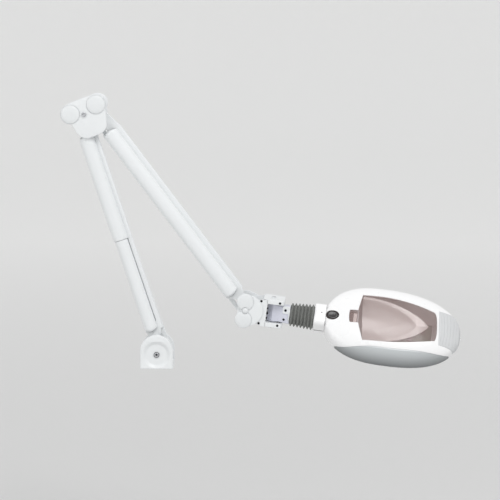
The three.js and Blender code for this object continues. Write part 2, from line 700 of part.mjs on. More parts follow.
// The head's outside, moved inward by inset
const stations = 16;
const ringCorners = 24;
function headBody(inset) {
  const positions = [];
  const [first, last] = [inset, headLength - 1.5 - Math.max(inset, 0)];
  const power = 2 / 3.2;
  for (let i = 0; i <= stations; i += 1) {
    const u = first + ((last - first) * (1 - Math.cos((Math.PI * i) / stations))) / 2;
    const inside = THREE.MathUtils.clamp(u, 0.5, headLength - 1);
    const [half, top, bottom] = [plan(inside) - inset, crown(inside) - inset, back(inside) + inset];
    for (let k = 0; k < ringCorners; k += 1) {
      const angle = (2 * Math.PI * k) / ringCorners;
      const [c, s] = [Math.cos(angle), Math.sin(angle)];
      const z = Math.sign(c) * Math.max(half, 1) * Math.abs(c) ** power;
      const rise = s > 0 ? Math.max(top - rimLevel, 1) : Math.max(rimLevel - bottom, 1);
      positions.push(headStart + u, -(rimLevel + Math.sign(s) * rise * Math.abs(s) ** power), z);
    }
  }
  const triangles = [];
  for (let i = 0; i < stations; i += 1) {
    for (let k = 0; k < ringCorners; k += 1) {
      const [a, b] = [i * ringCorners + k, i * ringCorners + ((k + 1) % ringCorners)];
      triangles.push(a, b, a + ringCorners, b, b + ringCorners, a + ringCorners);
    }
  }
  const start = positions.length / 3;
  positions.push(headStart + first, -rimLevel, 0, headStart + last, -rimLevel, 0);
  const lastRing = stations * ringCorners;
  for (let k = 0; k < ringCorners; k += 1) {
    const next = (k + 1) % ringCorners;
    triangles.push(start, next, k, start + 1, lastRing + k, lastRing + next);
  }
  const geometry = new THREE.BufferGeometry();
  geometry.setAttribute("position", new THREE.Float32BufferAttribute(positions, 3));
  geometry.setIndex(triangles);
  return geometry;
}

// A block of space: along the head line, above the head line towards the face, and across
const region = ([from, to], [low, high], [left, right]) =>
  box([headStart + from, headStart + to], [-high, -low], [left, right]);

function windowOutline(margin) {
  const { from, to, nearHalf, farHalf, bulge } = windowSize;
  const [near, far] = [nearHalf - margin, farHalf - margin];
  const tab = windowTab.half - margin;
  const edge = new THREE.Shape();
  edge.moveTo(windowTab.from + margin, -tab);
  edge.lineTo(windowTab.to + margin, -tab);
  edge.lineTo(from + margin, -near);
  edge.quadraticCurveTo((from + to) / 2 + 30, -near + 1, to - margin, -far);
  edge.quadraticCurveTo(to + 2 * bulge - margin, 0, to - margin, far);
  edge.quadraticCurveTo((from + to) / 2 + 30, near - 1, from + margin, near);
  edge.lineTo(windowTab.to + margin, tab);
  edge.lineTo(windowTab.from + margin, tab);
  return edge.getPoints(7);
}
const faceRange = [-60, 0];
const windowPrism = (margin) => plate(windowOutline(margin), ...faceRange).translate(headStart, 0, 0);
function oval(halfLength, halfWidth, low, high) {
  const disc = plate(ring(0, 0, 1, 24), -high, -low).scale(halfLength, 1, halfWidth);
  return disc.translate(headStart + button.at, 0, 0);
}

const everywhere = [-20, headLength + 20];
const across = [-headHalfWidth - 10, headHalfWidth + 10];
const outside = headBody(0);
const hollow = headBody(shellWall);
const skin = cut(outside, hollow);
// Side panels are lens shaped: low at both ends and tall in the middle
function panelOutline(high, margin) {
  const [from, to] = [panel.from - margin, panel.to + margin];
  const [middle, reach] = [(from + to) / 2, (to - from) / 2];
  const arch = Array.from({ length: 25 }, (_, i) => {
    const u = from + ((to - from) * i) / 24;
    const share = (1 - (Math.abs(u - middle) / (reach + panel.blunt)) ** 2.6) ** 0.5;
    return point(headStart + u, -(panel.low + (high - panel.low) * share + margin));
  });
  const corners = [point(headStart + to, -panel.low + margin), point(headStart + from, -panel.low + margin)];
  return [...arch, ...corners];
}
const panelRegion = (side, margin) => {
  const edges = side > 0 ? [headHalfWidth * 0.3, across[1]] : [across[0], -headHalfWidth * 0.3];
  return slab(panelOutline(side > 0 ? panel.upperHigh : panel.lowerHigh, margin), ...edges);
};
const panelLayer = cut(outside, headBody(panelRecess));
const panelRoom = cut(headBody(-1), headBody(panelRecess + gap));
const gripRegion = (margin) => {
  const half = gripHalfWidth + margin;
  return region([gripFrom - margin, headLength + 20], [gripLow - margin, 60], [-half, half]);
};
const gripLayer = cut(headBody(-gripProud), headBody(panelRecess));
const gripRoom = cut(headBody(-gripProud - 1), headBody(panelRecess + gap));
const buttonTop = crown(button.at) + button.proud;
const buttonRoom = oval(button.halfLength + button.rim + gap, button.halfWidth + button.rim + gap, 0, 60);
const neckDoor = region([-20, shellWall + 1], [-13, 11], [-15, 15]);

const faceShell = cut(
  common(skin, region(everywhere, [partingLevel, 80], across)),
  common(panelRoom, panelRegion(1, gap)),
  common(panelRoom, panelRegion(-1, gap)),
  common(gripRoom, gripRegion(gap)),
  windowPrism(0),
  buttonRoom,
  neckDoor,
);
place(head, "face_shell", faceShell, "headPaint");
const backShell = common(skin, region(everywhere, [-80, partingLevel - gap], across));
place(head, "back_shell", backShell, "headPaint");
const sides = [["upper", 1], ["lower", -1]];
for (const [name, side] of sides) {
  const sidePanel = cut(common(panelLayer, panelRegion(side, 0)), gripRegion(2 * gap));
  place(head, `side_panel_${name}`, sidePanel, "panelMetal");
}
place(head, "end_grip", cut(common(gripLayer, gripRegion(0)), windowPrism(-1)), "gripPlastic");
place(head, "window_shield", common(skin, windowPrism(gap)), "tintedWindow");

// ---------------------------------------------------------------- inside the head
const bowlLevel = crown(leaf.tip) - shellWall - bowl.under;
function ellipsoid(inset) {
  const sizes = [bowl.length - inset, bowl.depth - inset, bowl.width - inset];
  const ball = new THREE.SphereGeometry(1, 24, 14).scale(...sizes);
  return ball.translate(headStart + bowl.at, -bowlLevel, 0);
}
function leafOutline() {
  const [from, tip] = [headStart + leaf.from, headStart + leaf.tip];
  const [belly, shoulder] = [0.47, 0.81].map((share) => THREE.MathUtils.lerp(from, tip, share));
  const narrow = 0.55 * leaf.half;
  const edge = new THREE.Shape();
  edge.moveTo(from, -leaf.half);
  edge.bezierCurveTo(belly, -leaf.half, shoulder, -narrow, tip, 0);
  edge.bezierCurveTo(shoulder, narrow, belly, leaf.half, from, leaf.half);
  return edge.getPoints(9);
}
const bowlSpace = region([bowl.from, headLength], [-60, bowlLevel], across);
const rim = plate(leafOutline(), -bowlLevel, -bowlLevel + leaf.thickness);
const reflector = cut(join(common(ellipsoid(0), bowlSpace), rim), ellipsoid(bowl.wall));
place(head, "reflector", reflector, "mirror");

const source = region([sourceBlock.from, sourceBlock.to], [sourceBlock.low, sourceBlock.high], [
  -sourceBlock.half,
  sourceBlock.half,
]);
place(head, "light_source", source, "sourceBody");

const finPitch = (2 * heatSink.half - heatSink.fin) / (heatSink.fins - 1);
const finBoxes = Array.from({ length: heatSink.fins }, (_, i) => {
  const left = -heatSink.half + i * finPitch;
  const heights = [heatSink.low, heatSink.high - heatSink.base + 0.5];
  return region([heatSink.from, heatSink.to], heights, [left, left + heatSink.fin]);
});
const sinkBase = [heatSink.high - heatSink.base, heatSink.high];
const sinkPlate = region([heatSink.from, heatSink.to], sinkBase, [-heatSink.half, heatSink.half]);
place(head, "heat_sink", join(sinkPlate, ...finBoxes), "aluminium");
const boardHeights = [board.low, board.low + board.thickness];
const driverBoard = region([board.from, board.to], boardHeights, [-board.half, board.half]);
place(head, "driver_board", driverBoard, "boardGreen");

// ---------------------------------------------------------------- power button
const bezelLow = crown(button.at) - button.depth;
const bezel = cut(
  oval(button.halfLength + button.rim, button.halfWidth + button.rim, bezelLow, buttonTop - 0.6),
  oval(button.halfLength + gap, button.halfWidth + gap, bezelLow - 1, buttonTop + 1),
);
place(head, "button_bezel", bezel, "darkRubber");
const buttonSpan = [bezelLow + 3, buttonTop];
place(head, "power_button", oval(button.halfLength, button.halfWidth, ...buttonSpan), "blackGloss");

export default light;
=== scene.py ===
"""Dental operating light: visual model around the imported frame. Builds run in local millimetres."""
import json
import math

import bmesh
import bpy
from bpy.props import FloatProperty, FloatVectorProperty, IntProperty, PointerProperty
from mathutils import Matrix, Vector


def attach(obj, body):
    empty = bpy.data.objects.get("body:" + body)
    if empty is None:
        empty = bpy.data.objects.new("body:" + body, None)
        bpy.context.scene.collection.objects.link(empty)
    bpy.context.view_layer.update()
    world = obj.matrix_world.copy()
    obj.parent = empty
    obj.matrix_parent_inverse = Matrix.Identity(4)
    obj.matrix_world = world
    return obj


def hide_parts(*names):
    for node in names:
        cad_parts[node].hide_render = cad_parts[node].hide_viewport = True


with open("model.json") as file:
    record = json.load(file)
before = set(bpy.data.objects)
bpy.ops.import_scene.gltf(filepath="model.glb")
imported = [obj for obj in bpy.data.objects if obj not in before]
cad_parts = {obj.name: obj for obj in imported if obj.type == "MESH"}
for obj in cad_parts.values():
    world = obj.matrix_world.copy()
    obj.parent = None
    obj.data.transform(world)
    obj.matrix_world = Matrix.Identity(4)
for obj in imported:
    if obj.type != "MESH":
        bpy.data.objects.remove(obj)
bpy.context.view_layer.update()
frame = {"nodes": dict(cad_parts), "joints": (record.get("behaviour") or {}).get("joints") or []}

bl_info = {
    "name": "Dental Operating Light",
    "version": (1, 0, 0),
    "blender": (4, 5, 0),
    "location": "View3D > Sidebar > Operating Light",
    "description": "Builds a dental operating light on two parallelogram arms",
    "category": "Add Mesh",
}

MM = 0.001
TAU = 2 * math.pi


# ------------------------------------------------------------------ places on the object
class Place:
    """Local millimetres: X and Z in the plane of a plate or along a part, -Y towards the front."""

    def __init__(self, origin, x_axis, z_axis):
        y_axis = z_axis.cross(x_axis)
        rows = (x_axis * MM, y_axis * MM, z_axis * MM)
        self.matrix = Matrix(rows).transposed().to_4x4()
        self.matrix.translation = origin
        self.inverse = self.matrix.inverted()

    def local(self, point):
        return self.inverse @ Vector(point)


JOINTS = {joint["name"]: joint for joint in frame["joints"]}


def pivot(name):
    return Vector(JOINTS[name]["pos_m"])


def in_arm_plane(origin, along):
    x_axis = along.normalized()
    return Place(origin, x_axis, Vector((-x_axis.z, 0, x_axis.x)))


UPRIGHT = Place(Vector((0, 0, 0)), Vector((1, 0, 0)), Vector((0, 0, 1)))
HEAD_AXIS = Vector(JOINTS["head_roll"]["axis"]).normalized()
FACE = -Vector(JOINTS["button_press"]["axis"]).normalized()
LOWER = in_arm_plane(pivot("elbow_level"), pivot("lower_arm_tilt") - pivot("elbow_level"))
LOWER_ROD = in_arm_plane(
    pivot("lower_rod_pivot") + pivot("elbow_level") - pivot("lower_arm_tilt"),
    pivot("lower_arm_tilt") - pivot("elbow_level"),
)
UPPER = in_arm_plane(pivot("upper_arm_tilt"), pivot("wrist_level") - pivot("upper_arm_tilt"))
UPPER_ROD = in_arm_plane(pivot("upper_rod_pivot"), pivot("wrist_level") - pivot("upper_arm_tilt"))
LINE = in_arm_plane(pivot("head_tilt"), HEAD_AXIS)
HEAD = Place(pivot("head_tilt"), HEAD_AXIS, FACE.cross(HEAD_AXIS))


def span(node, place, axis):
    """Lowest and highest local coordinate of a CAD node along one axis of a place."""
    values = [place.local(v.co)[axis] for v in frame["nodes"][node].data.vertices]
    return min(values), max(values)


# ------------------------------------------------------------------ outlines
def ring(x, z, radius, corners=48):
    return [
        (x + radius * math.cos(TAU * i / corners), z + radius * math.sin(TAU * i / corners))
        for i in range(corners)
    ]


def wrap(points):
    """Convex outline around a set of points."""
    ordered = sorted(set(points))

    def half(items):
        chain = []
        for p in items:
            while len(chain) > 1:
                (ax, ay), (bx, by) = chain[-2:]
                if (bx - ax) * (p[1] - ay) - (by - ay) * (p[0] - ax) > 1e-9:
                    break
                chain.pop()
            chain.append(p)
        return chain[:-1]

    return half(ordered) + half(ordered[::-1])


def around(middle, outlines, corners=240):
    """Outer boundary of overlapping outlines, each seen from a middle inside them."""
    result = []
    for i in range(corners):
        dx, dz = math.cos(TAU * i / corners), math.sin(TAU * i / corners)
        reach = 0.0
        for outline in outlines:
            for (ax, az), (bx, bz) in zip(outline, outline[1:] + outline[:1]):
                ax, az, ex, ez = ax - middle[0], az - middle[1], bx - ax, bz - az
                cross = dx * ez - dz * ex
                if abs(cross) > 1e-9:
                    along, share = (ax * ez - az * ex) / cross, (ax * dz - az * dx) / cross
                    if 0 <= share <= 1:
                        reach = max(reach, along)
        result.append((middle[0] + dx * reach, middle[1] + dz * reach))
    return result


def rounded_rectangle(left, right, low, high, radius, corners=32):
    centres = [(x, z) for x in (left + radius, right - radius) for z in (low + radius, high - radius)]
    return wrap([p for x, z in centres for p in ring(x, z, radius, corners)])


# ------------------------------------------------------------------ meshes
def mesh_object(name, place, verts, faces):
    mesh = bpy.data.meshes.new(name)
    mesh.from_pydata([place.matrix @ Vector(v) for v in verts], [], faces)
    made = bmesh.new()
    made.from_mesh(mesh)
    bmesh.ops.remove_doubles(made, verts=made.verts, dist=2e-6)
    bmesh.ops.dissolve_degenerate(made, edges=made.edges, dist=1e-7)
    bmesh.ops.recalc_face_normals(made, faces=made.faces)
    made.to_mesh(mesh)
    made.free()
    obj = bpy.data.objects.new(name, mesh)
    bpy.context.scene.collection.objects.link(obj)
    return obj


def apply_modifiers(obj):
    """The object's mesh becomes what its modifiers make of it."""
    bpy.context.view_layer.update()
    graph = bpy.context.evaluated_depsgraph_get()
    made = bpy.data.meshes.new_from_object(obj.evaluated_get(graph))
    obj.modifiers.clear()
    obj.data = made
    return obj


def bevel(obj, width, segments=3, angle=38):
    modifier = obj.modifiers.new("bevel", "BEVEL")
    modifier.width = width * MM
    modifier.segments = segments
    modifier.limit_method = "ANGLE"
    modifier.angle_limit = math.radians(angle)
    modifier.use_clamp_overlap = True
    return apply_modifiers(obj)


def smooth(obj, angle=32):
    """Smooth shading with crisp edges where two faces meet at more than the angle."""
    made = bmesh.new()
    made.from_mesh(obj.data)
    limit = math.radians(angle)
    for face in made.faces:
        face.smooth = True
    for edge in made.edges:
        edge.smooth = len(edge.link_faces) == 2 and edge.calc_face_angle(0) < limit
    made.to_mesh(obj.data)
    made.free()
    return obj


def reshaped(obj, place, change):
    """Moves each vertex to where change puts its local millimetres."""
    for vertex in obj.data.vertices:
        vertex.co = place.matrix @ Vector(change(*place.local(vertex.co)))
    return obj


def united(objects):
    first = objects[0]
    for other in objects[1:]:
        modifier = first.modifiers.new("join", "BOOLEAN")
        modifier.operation = "UNION"
        modifier.solver = "EXACT"
        modifier.object = other
        apply_modifiers(first)
        bpy.data.objects.remove(other)
    return first


def carved(obj, tool):
    modifier = obj.modifiers.new("cut", "BOOLEAN")
    modifier.operation = "DIFFERENCE"
    modifier.solver = "EXACT"
    modifier.object = tool
    apply_modifiers(obj)
    bpy.data.objects.remove(tool)
    return obj


def fitted(obj, body, slot, material, *nodes):
    """Dresses a finished piece, puts it on its body and hides the CAD nodes it stands for."""
    smooth(obj)
    obj.data.materials.clear()
    obj.data.materials.append(material)
    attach(obj, body)
    if nodes:
        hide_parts(*nodes)
    return obj


def prism(name, place, outline, low, high, holes=(), edge=0.5, flat="xz"):
    """A plate with rounded edges: outline in X and Z and thickness along Y, or X and Y along Z."""
    curve = bpy.data.curves.new(name, "CURVE")
    curve.dimensions = "2D"
    curve.fill_mode = "BOTH"
    edge = min(edge, (high - low) * 0.49)
    for loop in (outline, *holes):
        spline = curve.splines.new("POLY")
        spline.points.add(len(loop) - 1)
        for point, (x, z) in zip(spline.points, loop):
            point.co = (x, z, 0, 1)
        spline.use_cyclic_u = True
    curve.extrude = (high - low) / 2 - edge
    curve.bevel_depth = edge
    curve.bevel_resolution = 2
    curve.offset = -edge
    source = bpy.data.objects.new(name, curve)
    bpy.context.scene.collection.objects.link(source)
    bpy.context.view_layer.update()
    mesh = bpy.data.meshes.new_from_object(source.evaluated_get(bpy.context.evaluated_depsgraph_get()))
    bpy.data.objects.remove(source)
    middle = (high + low) / 2
    if flat == "xz":
        verts = [(v.co.x, middle - v.co.z, v.co.y) for v in mesh.vertices]
    else:
        verts = [(v.co.x, v.co.y, middle + v.co.z) for v in mesh.vertices]
    faces = [tuple(p.vertices) for p in mesh.polygons]
    bpy.data.meshes.remove(mesh)
    return mesh_object(name, place, verts, faces)


def loft(name, place, rings, capped=True):
    """Skin over rings of equal length, each a closed loop of points."""
    count = len(rings[0])
    verts = [p for loop in rings for p in loop]
    faces = []
    for i in range(len(rings) - 1):
        for k in range(count):
            n = (k + 1) % count
            a = i * count
            faces.append((a + k, a + n, a + count + n, a + count + k))
    if capped:
        faces.append(tuple(range(count))[::-1])
        faces.append(tuple(range(len(verts) - count, len(verts))))
    return mesh_object(name, place, verts, faces)


def turned(name, place, profile, centre=(0, 0), axis="y", corners=64):
    """Body of revolution; the profile is [radius, distance along the axis]."""
    rings = []
    for i in range(corners):
        c, s = math.cos(TAU * i / corners), math.sin(TAU * i / corners)
        if axis == "y":
            rings.append([(centre[0] + r * c, h, centre[1] + r * s) for r, h in profile])
        elif axis == "x":
            rings.append([(h, centre[0] + r * c, centre[1] + r * s) for r, h in profile])
        else:
            rings.append([(centre[0] + r * c, centre[1] + r * s, h) for r, h in profile])
    count = len(profile)
    verts = [p for loop in rings for p in loop]
    faces = []
    for i in range(corners):
        a, b = i * count, ((i + 1) % corners) * count
        for k in range(count - 1):
            faces.append((a + k, b + k, b + k + 1, a + k + 1))
        if profile[0][0] > 0 and profile[-1][0] > 0:
            faces.append((a + count - 1, b + count - 1, b, a))
    return mesh_object(name, place, verts, faces)


def fillet(profile, radius, steps=4):
    """The same profile with its inner corners rounded."""
    result = [profile[0]]
    for before, corner, after in zip(profile, profile[1:], profile[2:]):
        a, b, c = Vector(before), Vector(corner), Vector(after)
        reach = min(radius, (a - b).length * 0.45, (c - b).length * 0.45)
        start = b + (a - b).normalized() * reach
        end = b + (c - b).normalized() * reach
        for i in range(steps + 1):
            t = i / steps
            result.append(tuple(start * (1 - t) ** 2 + b * (2 * t * (1 - t)) + end * t * t))
    result.append(profile[-1])
    return result


def tube(name, place, points, radius, corners=10):
    """Round wire along points."""
    rings = []
    side = None
    for i, p in enumerate(points):
        p = Vector(p)
        ahead = Vector(points[min(i + 1, len(points) - 1)]) - Vector(points[max(i - 1, 0)])
        ahead.normalize()
        if side is None:
            side = ahead.orthogonal().normalized()
        side = (side - ahead * side.dot(ahead)).normalized()
        other = ahead.cross(side)
        rings.append([
            tuple(p + radius * (side * math.cos(TAU * k / corners) + other * math.sin(TAU * k / corners)))
            for k in range(corners)
        ])
    return loft(name, place, rings)


# ------------------------------------------------------------------ shader trees
class Socket:
    """One output of a node, with arithmetic that adds Math nodes."""

    def __init__(self, tree, output):
        self.tree = tree
        self.output = output

    def math(self, operation, *values):
        return self.tree.add("Math", {"operation": operation}, dict(enumerate((self, *values))))

    def __add__(self, other):
        return self.math("ADD", other)

    __radd__ = __add__

    def __mul__(self, other):
        return self.math("MULTIPLY", other)

    __rmul__ = __mul__

    def __sub__(self, other):
        return self.math("SUBTRACT", other)

    def __rsub__(self, other):
        return self.tree.add("Math", {"operation": "SUBTRACT"}, {0: other, 1: self})

    def __truediv__(self, other):
        return self.math("DIVIDE", other)

    def clamped(self):
        return self.tree.add("Math", {"operation": "ADD", "use_clamp": True}, {0: self, 1: 0.0})


class Tree:
    """A material's node tree around one Principled shader."""

    def __init__(self, name):
        self.material = bpy.data.materials.new(name)
        self.material.use_nodes = True
        self.nodes = self.material.node_tree.nodes
        self.links = self.material.node_tree.links
        self.shader = self.nodes["Principled BSDF"]

    def add(self, kind, settings=None, inputs=None, out=0):
        node = self.nodes.new("ShaderNode" + kind)
        for key, value in (settings or {}).items():
            if key == "stops":
                self.set_stops(node.color_ramp, value)
            else:
                setattr(node, key, value)
        for key, value in (inputs or {}).items():
            self.set(node.inputs[key], value)
        return Socket(self, node.outputs[out])

    @staticmethod
    def set_stops(ramp, stops):
        while len(ramp.elements) < len(stops):
            ramp.elements.new(0.5)
        for element, (place, colour) in zip(ramp.elements, stops):
            element.position = place
            element.color = (*colour, 1)

    def set(self, target, value):
        if isinstance(value, Socket):
            self.links.new(value.output, target)
        elif target.type == "RGBA":
            target.default_value = (*value[:3], 1)
        else:
            target.default_value = value

    def finish(self, **inputs):
        for key, value in inputs.items():
            self.set(self.shader.inputs[key.replace("_", " ")], value)
        return self.material

    def coordinates(self, scale=(1, 1, 1)):
        where = self.add("TexCoord", out=3)
        return self.add("Mapping", {}, {"Vector": where, "Scale": scale})

    def noise(self, scale, detail=3.0, where=None, roughness=0.55):
        inputs = {"Vector": where or self.coordinates(), "Scale": scale, "Detail": detail}
        inputs["Roughness"] = roughness
        return self.add("TexNoise", {"noise_dimensions": "3D"}, inputs)

    def mix(self, factor, first, second, blend="MIX"):
        settings = {"data_type": "RGBA", "blend_type": blend}
        return self.add("Mix", settings, {0: factor, 6: first, 7: second}, out=2)

    def bump(self, height, strength, distance):
        return self.add("Bump", {}, {"Height": height, "Strength": strength, "Distance": distance})


def shade(colour, factor):
    return tuple(min(1.0, max(0.0, c * factor)) for c in colour)


def painted(name, colour, roughness, peel=0.12):
    """Powder coat: fine orange peel, faint cloudiness and a little handling dullness."""
    tree = Tree(name)
    cloud = tree.noise(14, 4)
    grain = tree.noise(900, 2)
    base = tree.mix((cloud - 0.35) * 0.5, colour, shade(colour, 0.955))
    return tree.finish(
        Base_Color=base,
        Roughness=(cloud * 0.1 + (roughness - 0.05)),
        Normal=tree.bump(grain, peel, 0.0004),
        Coat_Weight=0.15,
        Coat_Roughness=0.25,
    )


def moulded(name, colour, roughness, coat=0.0, speckle=0.05):
    """Injection moulded plastic: very fine spark texture and faint flow marks."""
    tree = Tree(name)
    flow = tree.noise(22, 3)
    spark = tree.noise(1600, 2)
    base = tree.mix((flow - 0.4) * 0.5, colour, shade(colour, 0.965))
    return tree.finish(
        Base_Color=base,
        Roughness=(flow * 0.08 + (roughness - 0.04)),
        Normal=tree.bump(spark, speckle, 0.0003),
        Coat_Weight=coat,
        Coat_Roughness=0.12,
    )


def brushed(name, colour, roughness, direction=(40, 900, 900)):
    """Metal with fine drawn lines and slight tarnish."""
    tree = Tree(name)
    lines = tree.noise(1.0, 4, tree.coordinates(direction))
    tarnish = tree.noise(60, 3)
    base = tree.mix((tarnish - 0.3) * 0.7, colour, shade(colour, 0.78))
    return tree.finish(
        Base_Color=base,
        Metallic=1.0,
        Roughness=(lines * 0.22 + (roughness - 0.1)),
        Normal=tree.bump(lines, 0.08, 0.0003),
    )


def panel_with_painted_shade(name, colour):
    """Satin metal inlay brushed along the head, with painted shade: dimmer towards the back shell, brighter
    towards the face.
    """
    tree = Tree(name)
    lines = tree.noise(1.0, 4, tree.coordinates((30, 500, 500)))
    where = tree.add("TexCoord", out=3)
    # Painted shade: the colour runs from dark at the panel's lower edge to light at its upper edge, by height
    # along the face direction.
    height = tree.add("VectorMath", {"operation": "DOT_PRODUCT"}, {0: where, 1: tuple(FACE)}, out=1)
    level = HeadForm.middle().dot(FACE)
    lit = ((height - (level + PANEL["low"] * MM)) / ((PANEL["high"][-1] - PANEL["low"]) * MM)).clamped()
    base = tree.mix(lit, shade(colour, 0.42), shade(colour, 1.45))
    return tree.finish(
        Base_Color=base,
        Metallic=0.75,
        Roughness=(lines * 0.2 + 0.3),
        Normal=tree.bump(lines, 0.06, 0.0003),
    )


def ribbed_rubber(name, colour):
    """Bellows rubber: patchy dust and a matte grain."""
    tree = Tree(name)
    grain = tree.noise(700, 3)
    dust = tree.noise(90, 4)
    base = tree.mix((dust - 0.42) * 1.6, colour, shade(colour, 1.35))
    return tree.finish(
        Base_Color=base,
        Roughness=(dust * 0.2 + 0.52),
        Normal=tree.bump(grain, 0.25, 0.0005),
        Sheen_Weight=0.15,
        Sheen_Roughness=0.5,
    )


def tinted(name, colour, opacity):
    """Clear shield with a warm tint, a hard coat and faint wiping marks."""
    tree = Tree(name)
    wipe = tree.noise(1.0, 4, tree.coordinates((30, 30, 260)))
    haze = tree.noise(18, 3)
    return tree.finish(
        Base_Color=tree.mix(haze, colour, shade(colour, 1.08)),
        Roughness=(wipe * 0.06 + 0.05),
        Alpha=(haze * 0.08 + (opacity - 0.04)),
        Coat_Weight=0.2,
        Coat_Roughness=0.08,
        IOR=1.45,
    )


def mirrored(name, colour):
    """Vacuum metallised reflector with slight waviness."""
    tree = Tree(name)
    wave = tree.noise(30, 2)
    return tree.finish(
        Base_Color=tree.mix(wave, colour, shade(colour, 0.94)),
        Metallic=0.55,
        Roughness=(wave * 0.1 + 0.4),
        Normal=tree.bump(wave, 0.05, 0.002),
    )


def circuit(name, colour):
    """Solder mask with lighter copper tracks under it."""
    tree = Tree(name)
    tracks = tree.add(
        "TexBrick",
        {"offset": 0.5},
        {"Vector": tree.coordinates((160, 160, 160)), "Scale": 1.0, "Mortar Size": 0.06},
        out=1,
    )
    return tree.finish(
        Base_Color=tree.mix(tracks, colour, shade(colour, 1.9)),
        Roughness=(tree.noise(300, 2) * 0.1 + 0.35),
        Normal=tree.bump(tracks, 0.2, 0.0003),
    )


FINISHES = {}


def make_finishes(colours):
    """Every material of the object, made once."""
    f = FINISHES
    f["arm"] = painted("arm_paint", colours.arm, 0.42)
    f["cover"] = moulded("arm_cover_plastic", colours.arm, 0.38, 0.1)
    f["head"] = moulded("head_plastic", colours.head, 0.28, 0.35)
    f["cap"] = moulded("cap_plastic", colours.cap, 0.34, 0.15)
    # Painted shade: the swivel block takes a darker lavender copy of the white paint, standing in for the
    # shade on its face.
    f["block"] = painted("block_paint", colours.block, 0.36, 0.08)
    f["steel"] = brushed("bright_steel", (0.60, 0.61, 0.63), 0.34)
    f["dark"] = brushed("blackened_steel", (0.035, 0.035, 0.04), 0.42)
    f["bronze"] = brushed("bearing_bronze", (0.48, 0.33, 0.17), 0.4)
    f["bellows"] = ribbed_rubber("bellows_rubber", colours.bellows)
    f["black_rubber"] = ribbed_rubber("black_rubber", (0.02, 0.02, 0.021))
    f["panel"] = panel_with_painted_shade("panel_metal", colours.panel)
    f["grip"] = moulded("grip_plastic", colours.grip, 0.5, 0.0, 0.12)
    f["window"] = tinted("window_tint", colours.window, 0.24)
    f["mirror"] = mirrored("reflector_mirror", (0.90, 0.87, 0.86))
    f["source"] = moulded("source_housing", (0.05, 0.028, 0.026), 0.5)
    f["phosphor"] = moulded("source_phosphor", (0.92, 0.84, 0.82), 0.5)
    f["aluminium"] = brushed("sink_aluminium", (0.55, 0.56, 0.58), 0.42)
    f["board"] = circuit("driver_board", (0.012, 0.07, 0.03))
    f["chip"] = moulded("chip_plastic", (0.02, 0.02, 0.022), 0.45)
    f["button"] = moulded("button_gloss", (0.010, 0.007, 0.008), 0.3, 0.25, 0.0)
    f["rim"] = moulded("button_rim", (0.035, 0.018, 0.016), 0.25, 0.5, 0.0)


def keep(nodes, finish):
    """CAD nodes whose shape is right take a finish as they are."""
    for node in nodes:
        obj = frame["nodes"][node]
        obj.data.materials.clear()
        obj.data.materials.append(FINISHES[finish])


# ------------------------------------------------------------------ fasteners and caps
def socket_screw(name, place, x, z, seat, radius, height):
    """Round-head screw on the front with a sunk socket."""
    hole = radius * 0.5
    profile = fillet(
        [(0, seat), (radius, seat), (radius, seat - height * 0.7), (radius * 0.82, seat - height),
         (hole, seat - height), (hole, seat - height * 0.35), (0, seat - height * 0.3)],
        radius * 0.12,
    )
    return turned(name, place, profile, (x, z), "y", 36)


def screw_well(obj, place, x, z, face, deep):
    """Sinks a round seat for a small screw into a front face."""
    sides = [(0, face - 1), (2.3, face - 1), (2.3, face + deep), (0, face + deep)]
    return carved(obj, turned("well", place, sides, (x, z), "y", 32))


def grooved(plate, place, x, z, radius, seat, side=-1):
    """Cuts the thin groove that outlines a cap into the face of a plate."""
    profile = [(radius, seat + side), (radius + 0.8, seat + side), (radius + 0.8, seat - side * 0.9),
               (radius, seat - side * 0.9)]
    return carved(plate, turned("groove", place, profile, (x, z), "y", 96))


def domed_cap(name, place, x, z, radius, seat, dome, side=-1, lip=1.0):
    """Shallow cap with a rolled edge."""
    points = [(0, 0), (radius, 0), (radius, lip * 0.7)]
    points += [
        (radius * math.sin(a), lip + (dome - lip) * (1 - (math.sin(a)) ** 3.2))
        for a in [math.radians(d) for d in (84, 76, 66, 56, 46, 36, 26, 16, 8)]
    ]
    points.append((0, dome))
    profile = [(r, seat + side * h) for r, h in fillet(points, 0.5, 3)]
    return turned(name, place, profile, (x, z), "y", 72)


# ------------------------------------------------------------------ base hub
def hub_outline(inset=0.0):
    half = span("hub_housing", UPRIGHT, 0)[1] - inset
    top = span("hub_housing", UPRIGHT, 2)[1] - inset
    centre = top - half
    arc = [
        (half * math.cos(math.pi * i / 48), centre + half * math.sin(math.pi * i / 48))
        for i in range(49)
    ]
    corner = 1.6
    left = [
        (-half + corner - corner * math.cos(a), inset + corner - corner * math.sin(a))
        for a in [math.radians(d) for d in (0, 22, 45, 67, 90)]
    ]
    right = [(-x, z) for x, z in left[::-1]]
    return arc + left + right


